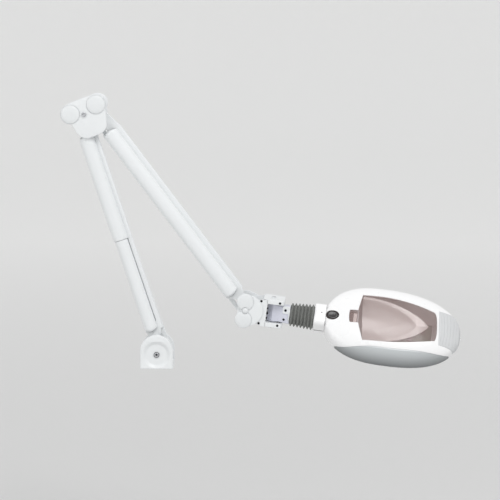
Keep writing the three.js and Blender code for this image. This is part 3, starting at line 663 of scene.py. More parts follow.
def build_hub(sizes):
    """Hub housing, its two dished covers, axle screw and the fixed spigot inside the foot."""
    hub = UPRIGHT.local(pivot("lower_arm_tilt"))
    arm = FINISHES["arm"]
    outline = hub_outline()
    pieces = []
    for low, high in ((-22.2, -19), (19, 22.2)):
        pieces.append(prism(f"cheek{low}", UPRIGHT, outline, low, high, [ring(0, hub.z, 5.3)], 0.6))
    top = span("base_spigot", UPRIGHT, 2)[1] + 2
    half = span("hub_housing", UPRIGHT, 0)[1]
    foot = [(-half, -20), (half, -20), (half, 20), (-half, 20)]
    pieces.append(prism("foot", UPRIGHT, foot, 0.02, top, [ring(0, 0, 11.6)], 0.5, flat="xy"))
    fitted(united(pieces), "base", "arm_paint", arm, "hub_housing").name = "hub_body"

    dish, floor, deep = 23.6, 18.5, 3.6
    for side, node in ((-1, "hub_cover_front"), (1, "hub_cover_back")):
        inner = 22.5
        outer = inner + 4.6
        low, high = sorted((side * inner, side * outer))
        cover = prism(node + "_shell", UPRIGHT, outline, low, high, (), sizes.edge * 1.6)
        well = [(0, outer - deep), (floor, outer - deep), (dish, outer), (dish + 2, outer + 1), (0, outer + 1)]
        cone = fillet(well, 0.8)
        cutter = turned("cutter", UPRIGHT, [(r, side * y) for r, y in cone], (0, hub.z), "y", 96)
        carved(cover, cutter)
        fitted(cover, "base", "arm_paint", arm, node)
    head = 22.5 + 4.6 - deep
    for side, name in ((-1, "hub_axle_front"), (1, "hub_axle_back")):
        cap = fillet(
            [(0, head + 0.03), (4.3, head + 0.03), (4.3, head + 1.6), (3.5, head + 2.3),
             (2.0, head + 2.3), (2.0, head + 0.7), (0, head + 0.5)], 0.3)
        screw = turned(name, UPRIGHT, [(r, side * y) for r, y in cap], (0, hub.z), "y", 48)
        fitted(screw, "base", "steel", FINISHES["steel"])
    keep(["hub_axle"], "dark")
    keep(["hub_rod_pin", "base_spigot"], "steel")
    keep(["spigot_bushing"], "bronze")
    keep(["lead_gland"], "black_rubber")


# ------------------------------------------------------------------ arms
def half_round(width, seat, front, wall, corners=20):
    """Section of an arm cover as [z, y] points, with a small return at each edge."""
    depth = seat - front

    def arc(inset, turn):
        steps = [corners - i for i in range(corners + 1)] if turn else range(corners + 1)
        return [
            ((width / 2 - inset) * math.cos(math.pi * i / corners),
             seat - (depth - inset) * math.sin(math.pi * i / corners) ** 0.85)
            for i in steps
        ]

    return arc(0, False) + arc(wall, True)


def arm_cover(name, place, frame_map, length, width, middle, front, seat, arches, body, node):
    """Half-round cover between two distances along the arm, each end arched or cut square."""
    start, end = length
    section = half_round(width, seat, front, 1.9)
    ends = ((0.0, 0.55), (0.5, 0.74), (1.3, 0.87), (2.6, 0.95), (4.2, 0.99), (6, 1.0), (9, 1.0), (13, 1.0))
    square = ((0.0, 0.97), (0.4, 1.0), (9, 1.0))
    first, last = (ends if arched else square for arched in arches)
    stations = [(start, 1, u, f, arches[0]) for u, f in first]
    stations += [(end, -1, u, f, arches[1]) for u, f in last[::-1]]
    rings = []
    for edge, inward, u, factor, arched in stations:
        arch = 5.0 * max(0.0, 1 - u / 13) ** 1.2 if arched else 0.0
        loop = []
        for z, y in section:
            x = edge + inward * (u + arch * abs(2 * z / width) ** 2.2)
            loop.append(frame_map((x, seat + (y - seat) * factor, middle + z)))
        rings.append(loop)
    cover = loft(name, place, rings)
    return fitted(bevel(cover, 0.25, 2), body, "cover_white", FINISHES["cover"], node)


def arm_channel(name, place, frame_map, length, sides, lip, depth, body, node, tongues):
    """Channel with a thin rim on one side, a broad lip on the other and a drilled tongue at each end."""
    start, end = length
    low, high = sides
    front, back = depth
    outline = [
        (low, front), (low + 2, front), (low + 2, back - 2.5), (lip, back - 2.5),
        (lip, front), (high, front), (high, back), (low, back),
    ]
    rings = [[frame_map((x, y, z)) for z, y in outline] for x in (start, end)]
    pieces = [bevel(loft(name, place, rings), 0.5, 3)]
    for at, corners in tongues:
        tongue = around((at, 0), [ring(at, 0, 8.6), [(at, 0), *corners]])
        pieces.append(prism("tongue", place, tongue, front, back, [ring(at, 0, 5.3)], 0.5))
    return fitted(united(pieces), body, "arm_paint", FINISHES["arm"], node)


def coil(name, place, frame_map, start, end, radius, wire, turns, middle, depth, body, node):
    """Extension spring with closed turns and a hook at each end."""
    points = []
    steps = int(turns * 18)
    for i in range(steps + 1):
        t = i / steps
        angle = TAU * turns * t
        x = start + 9 + (end - start - 18) * t
        points.append((x, depth + radius * math.cos(angle), middle + radius * math.sin(angle)))
    bends = ((0, 0), (3, 1.5), (7, radius * 0.9))
    hook = [(start + along, depth + out, middle) for along, out in bends]
    tail = [(end - along, depth + out, middle) for along, out in bends[::-1]]
    path = [frame_map(p) for p in hook + points + tail]
    return fitted(tube(name, place, path, wire, 8), body, "steel", FINISHES["steel"], node)


def tie_rod(name, place, length, layer, body, node):
    """Flat bar with an eye at each end."""
    low, high = layer
    bar = prism("bar", place, [(0, -3.5), (length, -3.5), (length, 3.5), (0, 3.5)], low, high, (), 0.8)
    eyes = [prism("eye", place, ring(x, 0, 5.6, 40), low, high, (), 0.7) for x in (0, length)]
    rod = united([bar, *eyes])
    for x in (0, length):
        carved(rod, prism("hole", place, ring(x, 0, 3.3, 32), low - 1, high + 1, (), 0.01))
    return fitted(rod, body, "steel", FINISHES["arm"], node)


def build_lower_arm(sizes):
    """Channel, two covers, balance spring and tie rod of the lower arm."""
    length = (pivot("lower_arm_tilt") - pivot("elbow_level")).length / MM
    lean = math.atan2(11.8 - 4.4, length)
    c, s = math.cos(lean), math.sin(lean)

    def on_tube(p):
        x, y, z = p
        return (x * c + z * s, y, -x * s + z * c + 11.8)

    front, back = span("lower_arm_channel", LOWER, 1)
    cover_front = span("lower_arm_cover_upper", LOWER, 1)[0]
    tongues = (
        (0, [(52, 2), (52, 13), (44, 13)]),
        (length, [(407, 24), (395, 24), (395, -6.5), (407, -6.5)]),
    )
    arm_channel("lower_channel", LOWER, on_tube, (46, 409), (-11.5, 20), 12.1, (front, back), "lower_arm",
                "lower_arm_channel", tongues)
    seat = front - 0.3
    covers = (("upper", (46, 238.7), 27, (True, False)), ("lower", (239.3, 409), 23, (False, True)))
    for half, ends, width, arches in covers:
        arm_cover(f"lower_cover_{half}", LOWER, on_tube, ends, width, 0, cover_front, seat, arches,
                  "lower_arm", f"lower_arm_cover_{half}")
    coil("lower_spring", LOWER, on_tube, 76, 239, 3.6, 0.9, 30, 0, -8.25, "lower_arm", "lower_arm_spring")
    tie_rod("lower_rod", LOWER_ROD, length, span("lower_tie_rod", UPRIGHT, 1), "lower_rod", "lower_tie_rod")


def build_upper_arm(sizes):
    """Channel, cover, balance spring and tie rod of the upper arm."""
    length = (pivot("wrist_level") - pivot("upper_arm_tilt")).length / MM
    front, back = span("upper_arm_channel", UPPER, 1)
    low, high = span("upper_arm_cover", UPPER, 2)
    middle = (low + high) / 2
    ends = span("upper_arm_cover", UPPER, 0)
    channel_high = span("upper_arm_channel", UPPER, 2)[1]

    def straight(p):
        return p

    tongues = (
        (0, [(ends[0] + 8, -18), (ends[0] + 8, 9), (ends[0] - 4, 9)]),
        (length, [(ends[1] - 1, 9.5), (ends[1] - 8, 9.5), (ends[1] - 8, -24), (ends[1] - 1, -24)]),
    )
    arm_channel("upper_channel", UPPER, straight, ends, (low, channel_high), high - 1.2, (front, back),
                "upper_arm", "upper_arm_channel", tongues)
    cover_front = span("upper_arm_cover", UPPER, 1)[0]
    arm_cover("upper_cover", UPPER, straight, ends, high - low, middle, cover_front, front - 0.3,
              (True, True), "upper_arm", "upper_arm_cover")
    coil("upper_spring", UPPER, straight, 81, 241, 3.6, 0.9, 30, middle, -8.25, "upper_arm",
         "upper_arm_spring")
    tie_rod("upper_rod", UPPER_ROD, length, span("upper_tie_rod", UPRIGHT, 1), "upper_rod", "upper_tie_rod")


# ------------------------------------------------------------------ elbow
def build_elbow(sizes):
    """Two plates with rolled edges, the domed caps and the clamping screw."""
    a, b = UPRIGHT.local(pivot("elbow_level")), UPRIGHT.local(pivot("upper_arm_tilt"))
    lobes = [
        (a.x, a.z, 17.6), (b.x, b.z, 17.6), (a.x + 28.7, a.z - 21.5, 20.5), (a.x + 45.5, a.z - 17, 18.4),
    ]
    caps, corner = lobes[:2], lobes[2:] + [(b.x - 3, b.z - 14, 20)]
    outline = around(((a.x + b.x) / 2, (a.z + b.z) / 2 - 8), [
        wrap([p for x, z, r in caps for p in ring(x, z, 17.6, 96)]),
        wrap([p for x, z, r in corner for p in ring(x, z, r, 96)]),
        wrap(ring(a.x + 17, a.z - 9, 17, 96) + ring(lobes[2][0], lobes[2][1], lobes[2][2], 96)),
    ])
    inner, outer = 19, 23.5
    front = prism("elbow_front", UPRIGHT, outline, -outer, -inner, (), 1.2)
    for p in (a, b):
        grooved(front, UPRIGHT, p.x, p.z, 16.1, -outer)
    fitted(front, "elbow", "arm_paint", FINISHES["arm"], "elbow_plate_front")
    rear = prism("elbow_rear", UPRIGHT, outline, inner, outer, (), 1.5)
    fitted(rear, "elbow", "arm_paint", FINISHES["arm"], "elbow_plate_back")
    for letter, p in (("a", a), ("b", b)):
        cap = domed_cap(f"cap_{letter}_front", UPRIGHT, p.x, p.z, 16.2, -outer - 0.3, 3.2)
        fitted(cap, "elbow", "cap_plastic", FINISHES["cap"], f"elbow_cap_{letter}")
        cap = domed_cap(f"cap_{letter}_back", UPRIGHT, p.x, p.z, 16.2, outer + 0.3, 3.2, 1)
        fitted(cap, "elbow", "cap_plastic", FINISHES["cap"])
    rod = UPRIGHT.local(pivot("lower_rod_pivot") + pivot("elbow_level") - pivot("lower_arm_tilt"))
    near, far = -outer - 0.02, -outer - 0.7
    washer = fillet([(1.5, near), (6.4, near), (6.4, far), (1.5, far)], 0.25)
    washer = turned("elbow_washer", UPRIGHT, washer, (rod.x, rod.z), "y", 64)
    fitted(washer, "elbow", "cap_plastic", FINISHES["cap"])
    screw = socket_screw("elbow_clamp_screw", UPRIGHT, rod.x, rod.z, -outer - 0.7, 4.4, 1.7)
    fitted(screw, "elbow", "steel", FINISHES["steel"], "elbow_screw")
    nut = wrap(ring(rod.x, rod.z, 5.2, 6))
    nut = prism("elbow_nut", UPRIGHT, nut, outer + 0.05, outer + 2.6, (), 0.4)
    fitted(nut, "elbow", "steel", FINISHES["steel"])
    keep(["elbow_pin_a", "elbow_pin_b", "elbow_rod_pin_lower", "elbow_rod_pin_upper"], "steel")


# ------------------------------------------------------------------ wrist
def build_wrist(sizes):
    """Wrist discs with their three front caps and two caps at the back."""
    tilt = UPRIGHT.local(pivot("head_tilt"))
    carrier = UPRIGHT.local(pivot("wrist_level"))
    rod = carrier + Vector((-3.7, 0, -30.8))
    front, back = span("wrist_disc_front", UPRIGHT, 1), span("wrist_disc_back", UPRIGHT, 1)
    outline = around((tilt.x, tilt.z), [
        ring(carrier.x, carrier.z, 15.0, 96),
        ring(rod.x, rod.z, 15.0, 96),
        ring(tilt.x, tilt.z, 9, 96),
        wrap([(x, z) for x, z in ring(tilt.x + 3, tilt.z, 27.5, 96) if x > tilt.x - 2]),
    ])
    disc = prism("wrist_plate_front", UPRIGHT, outline, *front, (), 0.9)
    for p in (carrier, rod):
        grooved(disc, UPRIGHT, p.x, p.z, 14.2, front[0])
    fitted(disc, "wrist", "arm_paint", FINISHES["arm"], "wrist_disc_front")
    disc = prism("wrist_plate_back", UPRIGHT, outline, *back, (), 0.9)
    fitted(disc, "wrist", "arm_paint", FINISHES["arm"], "wrist_disc_back")
    seat = front[0] - 0.3
    for name, p, node in (("upper", carrier, "wrist_cap_upper"), ("lower", rod, "wrist_cap_lower")):
        cap = domed_cap(f"wrist_{name}_cap", UPRIGHT, p.x, p.z, 14.3, seat, 2.8)
        room = [(0, seat - 9), (6.0, seat - 9), (6.0, 0), (0, 0)]
        room = turned("room", UPRIGHT, room, (tilt.x, tilt.z), "y", 64)
        carved(cap, room)
        fitted(cap, "wrist", "cap_plastic", FINISHES["cap"], node)
        cap = domed_cap(f"wrist_{name}_cap_back", UPRIGHT, p.x, p.z, 12, back[1] + 0.3, 2.2, 1)
        fitted(cap, "wrist", "cap_plastic", FINISHES["cap"])
    centre = domed_cap("wrist_centre", UPRIGHT, tilt.x, tilt.z, 5.6, seat, 3.6, -1, 0.8)
    fitted(centre, "wrist", "cap_plastic", FINISHES["cap"], "wrist_centre_cap")
    keep(["wrist_bracket_front", "wrist_bracket_back"], "arm")
    keep(["wrist_pin", "wrist_rod_pin", "wrist_axle"], "steel")


# ------------------------------------------------------------------ fork and block
def build_fork(sizes):
    """Fork with flush front face and four socket screws."""
    half = span("fork", LINE, 1)[1]
    top = span("fork", LINE, 2)[1]
    end = span("fork", LINE, 0)[1]
    gap = 16.3
    inner = 21.6
    foot = [(37, -top), (37, top)]
    cheek = wrap(ring(4, 0, 18.5, 96) + foot)
    web = [(29.5, -half), (37, -half), (37, half), (29.5, half)]
    pieces = [prism("web", LINE, web, -top, top, (), 0.6, "xy")]
    for low, high in ((-half, -inner), (inner, half)):
        pieces.append(prism("cheek", LINE, cheek, low, high, [ring(0, 0, 4.8)], 0.6))
    corner = half - 6
    ends = [p for side in (-1, 1) for p in ring(end - 6, side * corner, 6, 48)]
    tongue = wrap(ends + [(30, -half), (30, half)])
    for low, high in ((gap, top), (-top, -gap)):
        pieces.append(prism("tongue", LINE, tongue, low, high, [ring(47, 0, 3.8, 32)], 1.0, "xy"))

    def slope(x, y, z):
        outer = max(0.0, abs(z) - gap) / (top - gap) * min(1.0, max(0.0, (x - 5) / 20))
        return x, y, z - math.copysign(3.4 * (half - y) / (2 * half) * outer, z)

    fork = reshaped(united(pieces), LINE, slope)
    height = gap + (top - gap) / 2 - 2.2
    for x in (26, 59):
        for z in (-height, height):
            screw_well(fork, LINE, x, z, -half, 1.5)
    fitted(fork, "fork", "arm_paint", FINISHES["arm"], "fork").name = "fork_body"
    for where, x in (("near", 26), ("far", 59)):
        for level, z in (("top", height), ("bottom", -height)):
            name = f"screw_{level}_{where}"
            screw = socket_screw(name, LINE, x, z, -half + 1.4, 2.0, 1.2)
            fitted(screw, "fork", "dark_steel", FINISHES["dark"], f"fork_screw_{level}_{where}")
    for index, (z, r) in enumerate(((8.2, 1.5), (-0.4, 2.4), (-8.8, 1.5))):
        shank = fillet([(0, -half + 0.4), (r, -half + 0.6), (r, -half + 7), (0, -half + 7)], 0.3)
        stud = turned(f"fork_stud_{index}", LINE, shank, (38.2, z), "y", 32)
        fitted(stud, "fork", "dark_steel", FINISHES["dark"])
    for side in (-1, 1):
        cap = [(0, top - 2), (5.2, top - 2), (5.2, top - 0.9), (3.2, top - 0.7), (0, top - 0.7)]
        cap = fillet(cap, 0.3)
        plug = turned(f"pan_cap_{'top' if side > 0 else 'bottom'}", LINE, [(r, side * z) for r, z in cap],
                      (47, 0), "z", 48)
        fitted(plug, "fork", "cap_plastic", FINISHES["cap"])
    keep(["pan_pin"], "steel")


def build_block(sizes):
    """Swivel block: round at the pin, a waisted saddle on top, a raised pad and two screws."""
    low, high = span("swivel_block", LINE, 2)
    start, end = span("swivel_block", LINE, 0)
    half = span("swivel_block", LINE, 1)[1]
    columns = 46
    rings = []
    for i in range(columns + 1):
        u = start + (end - start) * (1 - math.cos(math.pi * i / columns)) / 2
        barrel = math.sqrt(max(0.0, 9.2**2 - (u - 47) ** 2)) if u < 47 else 9.2
        depth = max(0.35, barrel, min(half, half - 0.3 + u - 47) if u > 41.5 else 0.0)
        waist = 1.6 * math.exp(-(((u - 60) / 8) ** 2))
        tall = high - waist
        radius = min(1.4, depth * 0.5)
        loop = []
        for cx, cz, a0 in ((1, 1, 0), (-1, 1, 90), (-1, -1, 180), (1, -1, 270)):
            for d in (0, 22.5, 45, 67.5, 90):
                a = math.radians(a0 + d)
                loop.append((u, -(cx * (depth - radius) + radius * math.cos(a)),
                             cz * (tall - radius) + radius * math.sin(a)))
        rings.append(loop)
    block = loft("block_body", LINE, rings)
    spots = ((end - 8, 7.4), (end - 9.5, -9.0))
    for x, z in spots:
        screw_well(block, LINE, x, z, -half, 1.6)
    # The block body wears the darker lavender paint as painted shade; its pad and collar stay white.
    fitted(block, "block", "block_paint", FINISHES["block"], "swivel_block")
    pad = rounded_rectangle(end - 13, end - 0.4, 1.5, high - 0.6, 2.4)
    pad = prism("block_pad", LINE, pad, -half - 0.9, -half - 0.02, [ring(*spots[0], 2.6, 32)], 0.35)
    fitted(pad, "block", "block_paint", FINISHES["arm"])
    rim = fillet([(8, end - 2.2), (17.2, end - 2.2), (17.2, end + 0.1), (8, end + 0.1)], 0.5)
    collar = turned("block_collar", LINE, rim, (0, 0), "x", 64)
    fitted(collar, "block", "block_paint", FINISHES["arm"])
    for name, (x, z) in zip(("block_screw_upper", "block_screw_lower"), spots):
        screw = socket_screw(name, LINE, x, z, -half + 1.5, 2.0, 1.2)
        fitted(screw, "block", "dark_steel", FINISHES["dark"])
    keep(["roll_stem"], "steel")


# ------------------------------------------------------------------ bellows and neck
def build_neck(sizes):
    """Rubber bellows and the rounded neck housing with its slit, a black strip in the slit as painted shade,
    and the indicator.
    """
    start, end = span("bellows", HEAD, 0)
    ridges = sizes.ridges
    pitch = (end - start) / ridges
    profile = [(14, start), (16.8, start)]
    steps = 14
    for i in range(ridges * steps + 1):
        t = i / steps
        share = min(1.0, t / ridges)
        crest = 20.6 + 2.4 * share
        wave = 0.5 - 0.5 * math.cos(TAU * t)
        profile.append((crest - 4.6 * (1 - wave**0.85), start + pitch * t))
    profile += [(18.6, end), (14, end)]
    bellows = turned("rubber_bellows", HEAD, profile, (0, 0), "x", 72)
    fitted(bellows, "head", "bellows_rubber", FINISHES["bellows"], "bellows")

    near, far = span("neck_housing", HEAD, 0)
    deep, wide = span("neck_housing", HEAD, 1)[1], span("neck_housing", HEAD, 2)[1]

    def section(u, inset, radius):
        outline = rounded_rectangle(-wide + inset, wide - inset, -deep + inset, deep - inset, radius, 32)
        return [(u, y, z) for z, y in outline]

    shell = [section(near, 2.2, 6), section(near + 0.5, 0.9, 7), section(near + 1.6, 0.2, 7.4),
             section(near + 3, 0, 7.5), section(far, 0, 7.5), section(far, 2.8, 5),
             section(near + 3, 2.8, 5)]
    neck = loft("neck_shell", HEAD, shell)
    hole = [(0, near - 2), (12.8, near - 2), (12.8, near + 6), (0, near + 6)]
    carved(neck, turned("hole", HEAD, hole, (0, 0), "x", 48))
    first, last, low, high = near + 1.5, far - 1, -wide - 2, -wide + 1.2
    slit = [(first, low), (last, low), (last, high), (first, high)]
    carved(neck, prism("slit", HEAD, slit, 5.2, 7.4, (), 0.05))
    fitted(neck, "head", "head_white", FINISHES["head"], "neck_housing")
    # Painted shade: the slit is cut in the housing, and the black strip set into it darkens the underside of
    # the neck.
    first, last, low, high = near + 1.7, far - 1.2, -wide + 0.3, -wide + 1.1
    slot = [(first, low), (last, low), (last, high), (first, high)]
    slot = prism("neck_shade_strip", HEAD, slot, 5.3, 7.3, (), 0.05)
    fitted(slot, "head", "dark_rubber", FINISHES["black_rubber"])
    lens = fillet([(0, -deep + 0.3), (1.0, -deep + 0.3), (1.0, -deep - 0.25), (0, -deep - 0.35)], 0.15)
    lens = turned("indicator", HEAD, lens, (far - 7, 1.5), "y", 24)
    fitted(lens, "head", "black_gloss", FINISHES["button"])
    keep(["roll_bearing"], "bronze")


# ------------------------------------------------------------------ head
class HeadForm:
    """Outside of the lamp head: sizes at a distance u from its near end, in millimetres."""

    start = span("face_shell", HEAD, 0)[0]
    length = 240.6
    half_width = span("face_shell", HEAD, 2)[1]
    widest, thickest = 101.0, 115.0
    level = -6.0
    crown_height, back_depth = 30.5, 35.0
    near_crown, near_back = 16.0, 17.0
    power = 2 / 3.2
    parting = -16.0

    @classmethod
    def middle(cls):
        return HEAD.matrix @ Vector((cls.start + cls.thickest, 0, 0))

    @classmethod
    def plan(cls, u):
        reach = cls.widest + 3 if u < cls.widest else cls.length - cls.widest
        return cls.half_width * max(0.0, 1 - min(1.0, abs(u - cls.widest) / reach) ** 2.5) ** (1 / 2.1)

    @classmethod
    def far(cls, u):
        return math.sqrt(max(0.0, 1 - min(1.0, (u - cls.thickest) / (cls.length - cls.thickest)) ** 2.4))

    @classmethod
    def crown(cls, u):
        if u > cls.thickest:
            return cls.level + (cls.crown_height - cls.level) * cls.far(u)
        share = max(0.0, (cls.thickest - u) / cls.thickest) ** 1.6
        return cls.crown_height - (cls.crown_height - cls.near_crown) * share

    @classmethod
    def back(cls, u):
        if u > cls.thickest:
            return cls.level - (cls.back_depth + cls.level) * cls.far(u)
        share = max(0.0, (cls.thickest - u) / cls.thickest) ** 2
        return -cls.back_depth + (cls.back_depth - cls.near_back) * share

    @classmethod
    def rise(cls, u, above, inset=0.0):
        top = cls.crown(u) - inset - cls.level if above else cls.level - cls.back(u) - inset
        return max(0.5, top)

    @classmethod
    def point(cls, u, angle, inset=0.0):
        half = max(0.5, cls.plan(u) - inset)
        c, s = math.cos(angle), math.sin(angle)
        v = math.copysign(half * abs(c) ** cls.power, c)
        n = cls.level + math.copysign(cls.rise(u, s > 0, inset) * abs(s) ** cls.power, s)
        return (cls.start + u - cls.lean(u, v), -n, v)

    @classmethod
    def lean(cls, u, v):
        """How far a point v from the middle sits back towards the near end."""
        return 0.11 * v * math.sin(math.pi * min(1.0, max(0.0, u / cls.length))) ** 0.6

    @classmethod
    def at_width(cls, u, v, inset=0.0):
        """Angle on the face where the surface is v from the middle."""
        half = max(0.5, cls.plan(u) - inset)
        return math.acos(min(1.0, abs(v) / half) ** (1 / cls.power))

    @classmethod
    def at_height(cls, u, n, inset=0.0):
        """Angle where the side of the head is at height n, negative behind the widest line."""
        away = min(0.999, abs(n - cls.level) / cls.rise(u, n > cls.level, inset))
        return math.copysign(math.asin(away ** (1 / cls.power)), n - cls.level)


WINDOW = {"tab": 41.0, "tab_end": 57.0, "tab_half": 12.5, "from": 65.0, "to": 190.0,
          "near": 45.0, "far": 29.0,
          "bulge": 7.0}
PANEL = {"from": 20.0, "to": 222.0, "low": -14.0, "high": {1: 4.0, -1: 24.3}, "blunt": 2.0}
GRIP = {"from": 200.0, "half": 34.0, "low": -12.0}


def panel_top(u, side):
    """Height of a side panel's upper edge: low at both ends and tall in the middle."""
    middle, reach = (PANEL["from"] + PANEL["to"]) / 2, (PANEL["to"] - PANEL["from"]) / 2
    away = min(1.0, abs(u - middle) / (reach + PANEL["blunt"]))
    return PANEL["low"] + (PANEL["high"][side] - PANEL["low"]) * math.sqrt(max(0.0, 1 - away**2.6))


def eased(t):
    t = min(1.0, max(0.0, t))
    return t * t * (3 - 2 * t)


def window_half(u, margin=0.0):
    """Half width of the window's outline at u; nothing outside its ends."""
    w = WINDOW
    first, last = w["tab"] + margin, w["to"] + w["bulge"] - margin
    if u <= first or u >= last:
        return 0.0
    if u < w["tab_end"]:
        corner = 2.0
        near = min(1.0, (u - first) / corner)
        return (w["tab_half"] - margin) * math.sqrt(max(0.0, 1 - (1 - near) ** 2))
    if u < w["from"]:
        t = (u - w["tab_end"]) / (w["from"] - w["tab_end"])
        return w["tab_half"] - margin + (w["near"] - w["tab_half"]) * t**0.9
    t = (u - w["from"]) / (w["to"] - w["from"])
    sweep = w["near"] - 1.2 * t - (w["near"] - w["far"] - 1.2) * max(0.0, (t - 0.25) / 0.75) ** 1.9
    if u <= w["to"]:
        return sweep - margin
    t = (u - w["to"]) / (last - w["to"])
    return (w["far"] - margin) * max(0.0, 1 - t**2.6) ** 0.42


def window_stations(margin):
    w = WINDOW
    first, last = w["tab"] + margin, w["to"] + w["bulge"] - margin
    stations = [first + 2 * (1 - math.cos(math.pi / 2 * i / 6)) for i in range(7)]
    stations += [first + 2 + (w["tab_end"] - first - 2) * i / 5 for i in range(1, 6)]
    stations += [w["tab_end"] + (w["from"] - w["tab_end"]) * i / 5 for i in range(1, 6)]
    stations += [w["from"] + (w["to"] - w["from"]) * i / 34 for i in range(1, 35)]
    stations += [w["to"] + (last - w["to"]) * math.sin(math.pi / 2 * i / 14) for i in range(1, 15)]
    return stations


def thickened(obj, thickness):
    """Turns a sheet's faces away from the inside of the head and gives it a thickness inwards."""
    made = bmesh.new()
    made.from_mesh(obj.data)
    inside = HEAD.matrix @ Vector((HeadForm.start + 110, 0, 0))
    vote = sum(f.normal.dot(f.calc_center_median() - inside) * f.calc_area() for f in made.faces)
    if vote < 0:
        bmesh.ops.reverse_faces(made, faces=made.faces)
    made.to_mesh(obj.data)
    made.free()
    modifier = obj.modifiers.new("wall", "SOLIDIFY")
    modifier.thickness = thickness * MM
    modifier.offset = -1
    modifier.use_even_offset = False
    return apply_modifiers(obj)


def grid(name, place, rows, thickness):
    """Open sheet of rows, all of one length, given a thickness towards the inside of the head."""
    count = len(rows[0])
    verts = [p for row in rows for p in row]
    faces = []
    for i in range(len(rows) - 1):
        for k in range(count - 1):
            a = i * count + k
            faces.append((a, a + 1, a + count + 1, a + count))
    obj = mesh_object(name, place, verts, faces)
    return thickened(obj, thickness)


def head_stations():
    """Distances along the head, closer together at its round ends and at every edge."""
    stations = {0.35}
    stations |= {240.35 * (1 - math.cos(math.pi * i / 70)) / 2 for i in range(1, 71)}
    stations |= set(window_stations(0.0))
    edges = (PANEL["from"], PANEL["to"])
    stations |= {e + d for e in edges for d in (-0.55, -0.35, 0.35, 0.55)}
    ordered = []
    for u in sorted(stations):
        if not ordered or u - ordered[-1] > 0.02:
            ordered.append(u)
    return ordered


def face_strip(side):
    """Rows of the white shell on one side, from the parting line to the window or the middle."""
    form = HeadForm
    rows = []
    for u in head_stations():
        low = form.at_height(u, form.parting)
        opening = window_half(u)
        top = form.at_width(u, opening) if opening > 0 else math.pi / 2
        edge_low = form.at_height(u, PANEL["low"] - 0.3)
        edge_high = min(form.at_height(u, panel_top(u, side) + 0.3), top * 0.9)
        recessed = PANEL["from"] - 0.45 < u < PANEL["to"] + 0.45
        angles = [(low + (edge_low - low) * i / 3, 0) for i in range(4)]
        deep = 1.25 if recessed else 0
        angles += [(edge_low + 0.004 + (edge_high - edge_low - 0.008) * i / 9, deep) for i in range(10)]
        angles += [(edge_high + (top - edge_high) * (i / 16), 0) for i in range(17)]
        row = []
        for angle, inset in angles:
            row.append(form.point(u, angle if side > 0 else math.pi - angle, inset))
        rows.append(row)
    return rows


def build_shells(sizes):
    """White face shell, back shell, side panels and the parting line between them, with a black strip behind
    it as painted shade.
    """
    form = HeadForm
    white = FINISHES["head"]
    right, left = face_strip(1), face_strip(-1)
    rows = [a + b[::-1] for a, b in zip(right, left)]
    open_rows = {i for i, u in enumerate(head_stations()) if window_half(u) > 0}
    count = len(rows[0])
    half = len(right[0])
    verts = [p for row in rows for p in row]
    faces = []
    for i in range(len(rows) - 1):
        for k in range(count - 1):
            if k == half - 1 and (i in open_rows or i + 1 in open_rows):
                continue
            a = i * count + k
            faces.append((a, a + 1, a + count + 1, a + count))
    end = len(rows) - 1
    faces.append(tuple(range(end * count, (end + 1) * count)))
    shell = mesh_object("face_shell_white", HEAD, verts, faces)
    thickened(shell, 2.4)
    room = prism("room", HEAD, oval(*BUTTON, 1.9), -60, -4, (), 0.01)
    carved(shell, room)
    fitted(shell, "head", "head_white", white, "face_shell")

    stations = head_stations()
    rows = []
    for u in stations:
        low = form.at_height(u, form.parting - 0.5)
        angles = [low + (-math.pi - 2 * low) * i / 48 for i in range(49)]
        rows.append([form.point(u, a, 0.35) for a in angles])
    back = grid("back_shell_cover", HEAD, rows, 2.4)
    fitted(back, "head", "head_white", FINISHES["head"], "back_shell")

    # Painted shade: the gap between the face shell and the back shell is real, and a black strip set behind it
    # darkens the parting line.
    rows = []
    for u in stations:
        low = form.at_height(u, form.parting + 1.2, 1.6)
        high = form.at_height(u, form.parting - 2.2, 1.6)
        rows.append((u, [low + (high - low) * i / 2 for i in range(3)]))
    for side, name in ((1, "upper"), (-1, "lower")):
        strip = [[form.point(u, a if side > 0 else math.pi - a, 1.9) for a in angles] for u, angles in rows]
        seal = grid(f"parting_shade_strip_{name}", HEAD, strip, 0.8)
        fitted(seal, "head", "dark_rubber", FINISHES["black_rubber"])

    for side, name in ((1, "upper"), (-1, "lower")):
        rows = []
        steps = [0, 0.01, 0.03] + [i / 40 for i in range(2, 39)] + [0.97, 0.99, 1]
        for t in steps:
            u = PANEL["from"] + (PANEL["to"] - PANEL["from"]) * t
            low = form.at_height(u, PANEL["low"])
            high = min(form.at_height(u, panel_top(u, side)), math.pi / 2 * 0.9)
            angles = [low + (high - low) * i / 14 for i in range(15)]
            rows.append([form.point(u, a if side > 0 else math.pi - a, 0.05) for a in angles])
        inlay = grid(f"panel_{name}", HEAD, rows, 1.0)
        fitted(bevel(inlay, 0.25, 2), "head", "panel_metal", FINISHES["panel"], f"side_panel_{name}")


BUTTON = (9.8, 7.4)


def oval(half_length, half_width, more=0.0, share=1.0, corners=64):
    """Outline round the button, wider by more and scaled by share."""
    length, width = (half_length + more) * share, (half_width + more) * share
    turns = [TAU * i / corners for i in range(corners)]
    return [(HeadForm.start + 12 + length * math.cos(a), width * math.sin(a)) for a in turns]


def build_window(sizes):
    """Tinted shield with its tab, set into the face."""
    form = HeadForm
    rows = []
    for u in window_stations(0.35):
        half = window_half(u, 0.35)
        top = form.at_width(u, half, 0.5) if half > 0 else math.pi / 2
        row = []
        for i in range(33):
            angle = top + (math.pi - 2 * top) * i / 32
            row.append(form.point(u, angle, 0.5))
        rows.append(row)
    shield = grid("tinted_shield", HEAD, rows, 1.8)
    fitted(bevel(shield, 0.3, 2), "head", "tinted_window", FINISHES["window"], "window_shield")


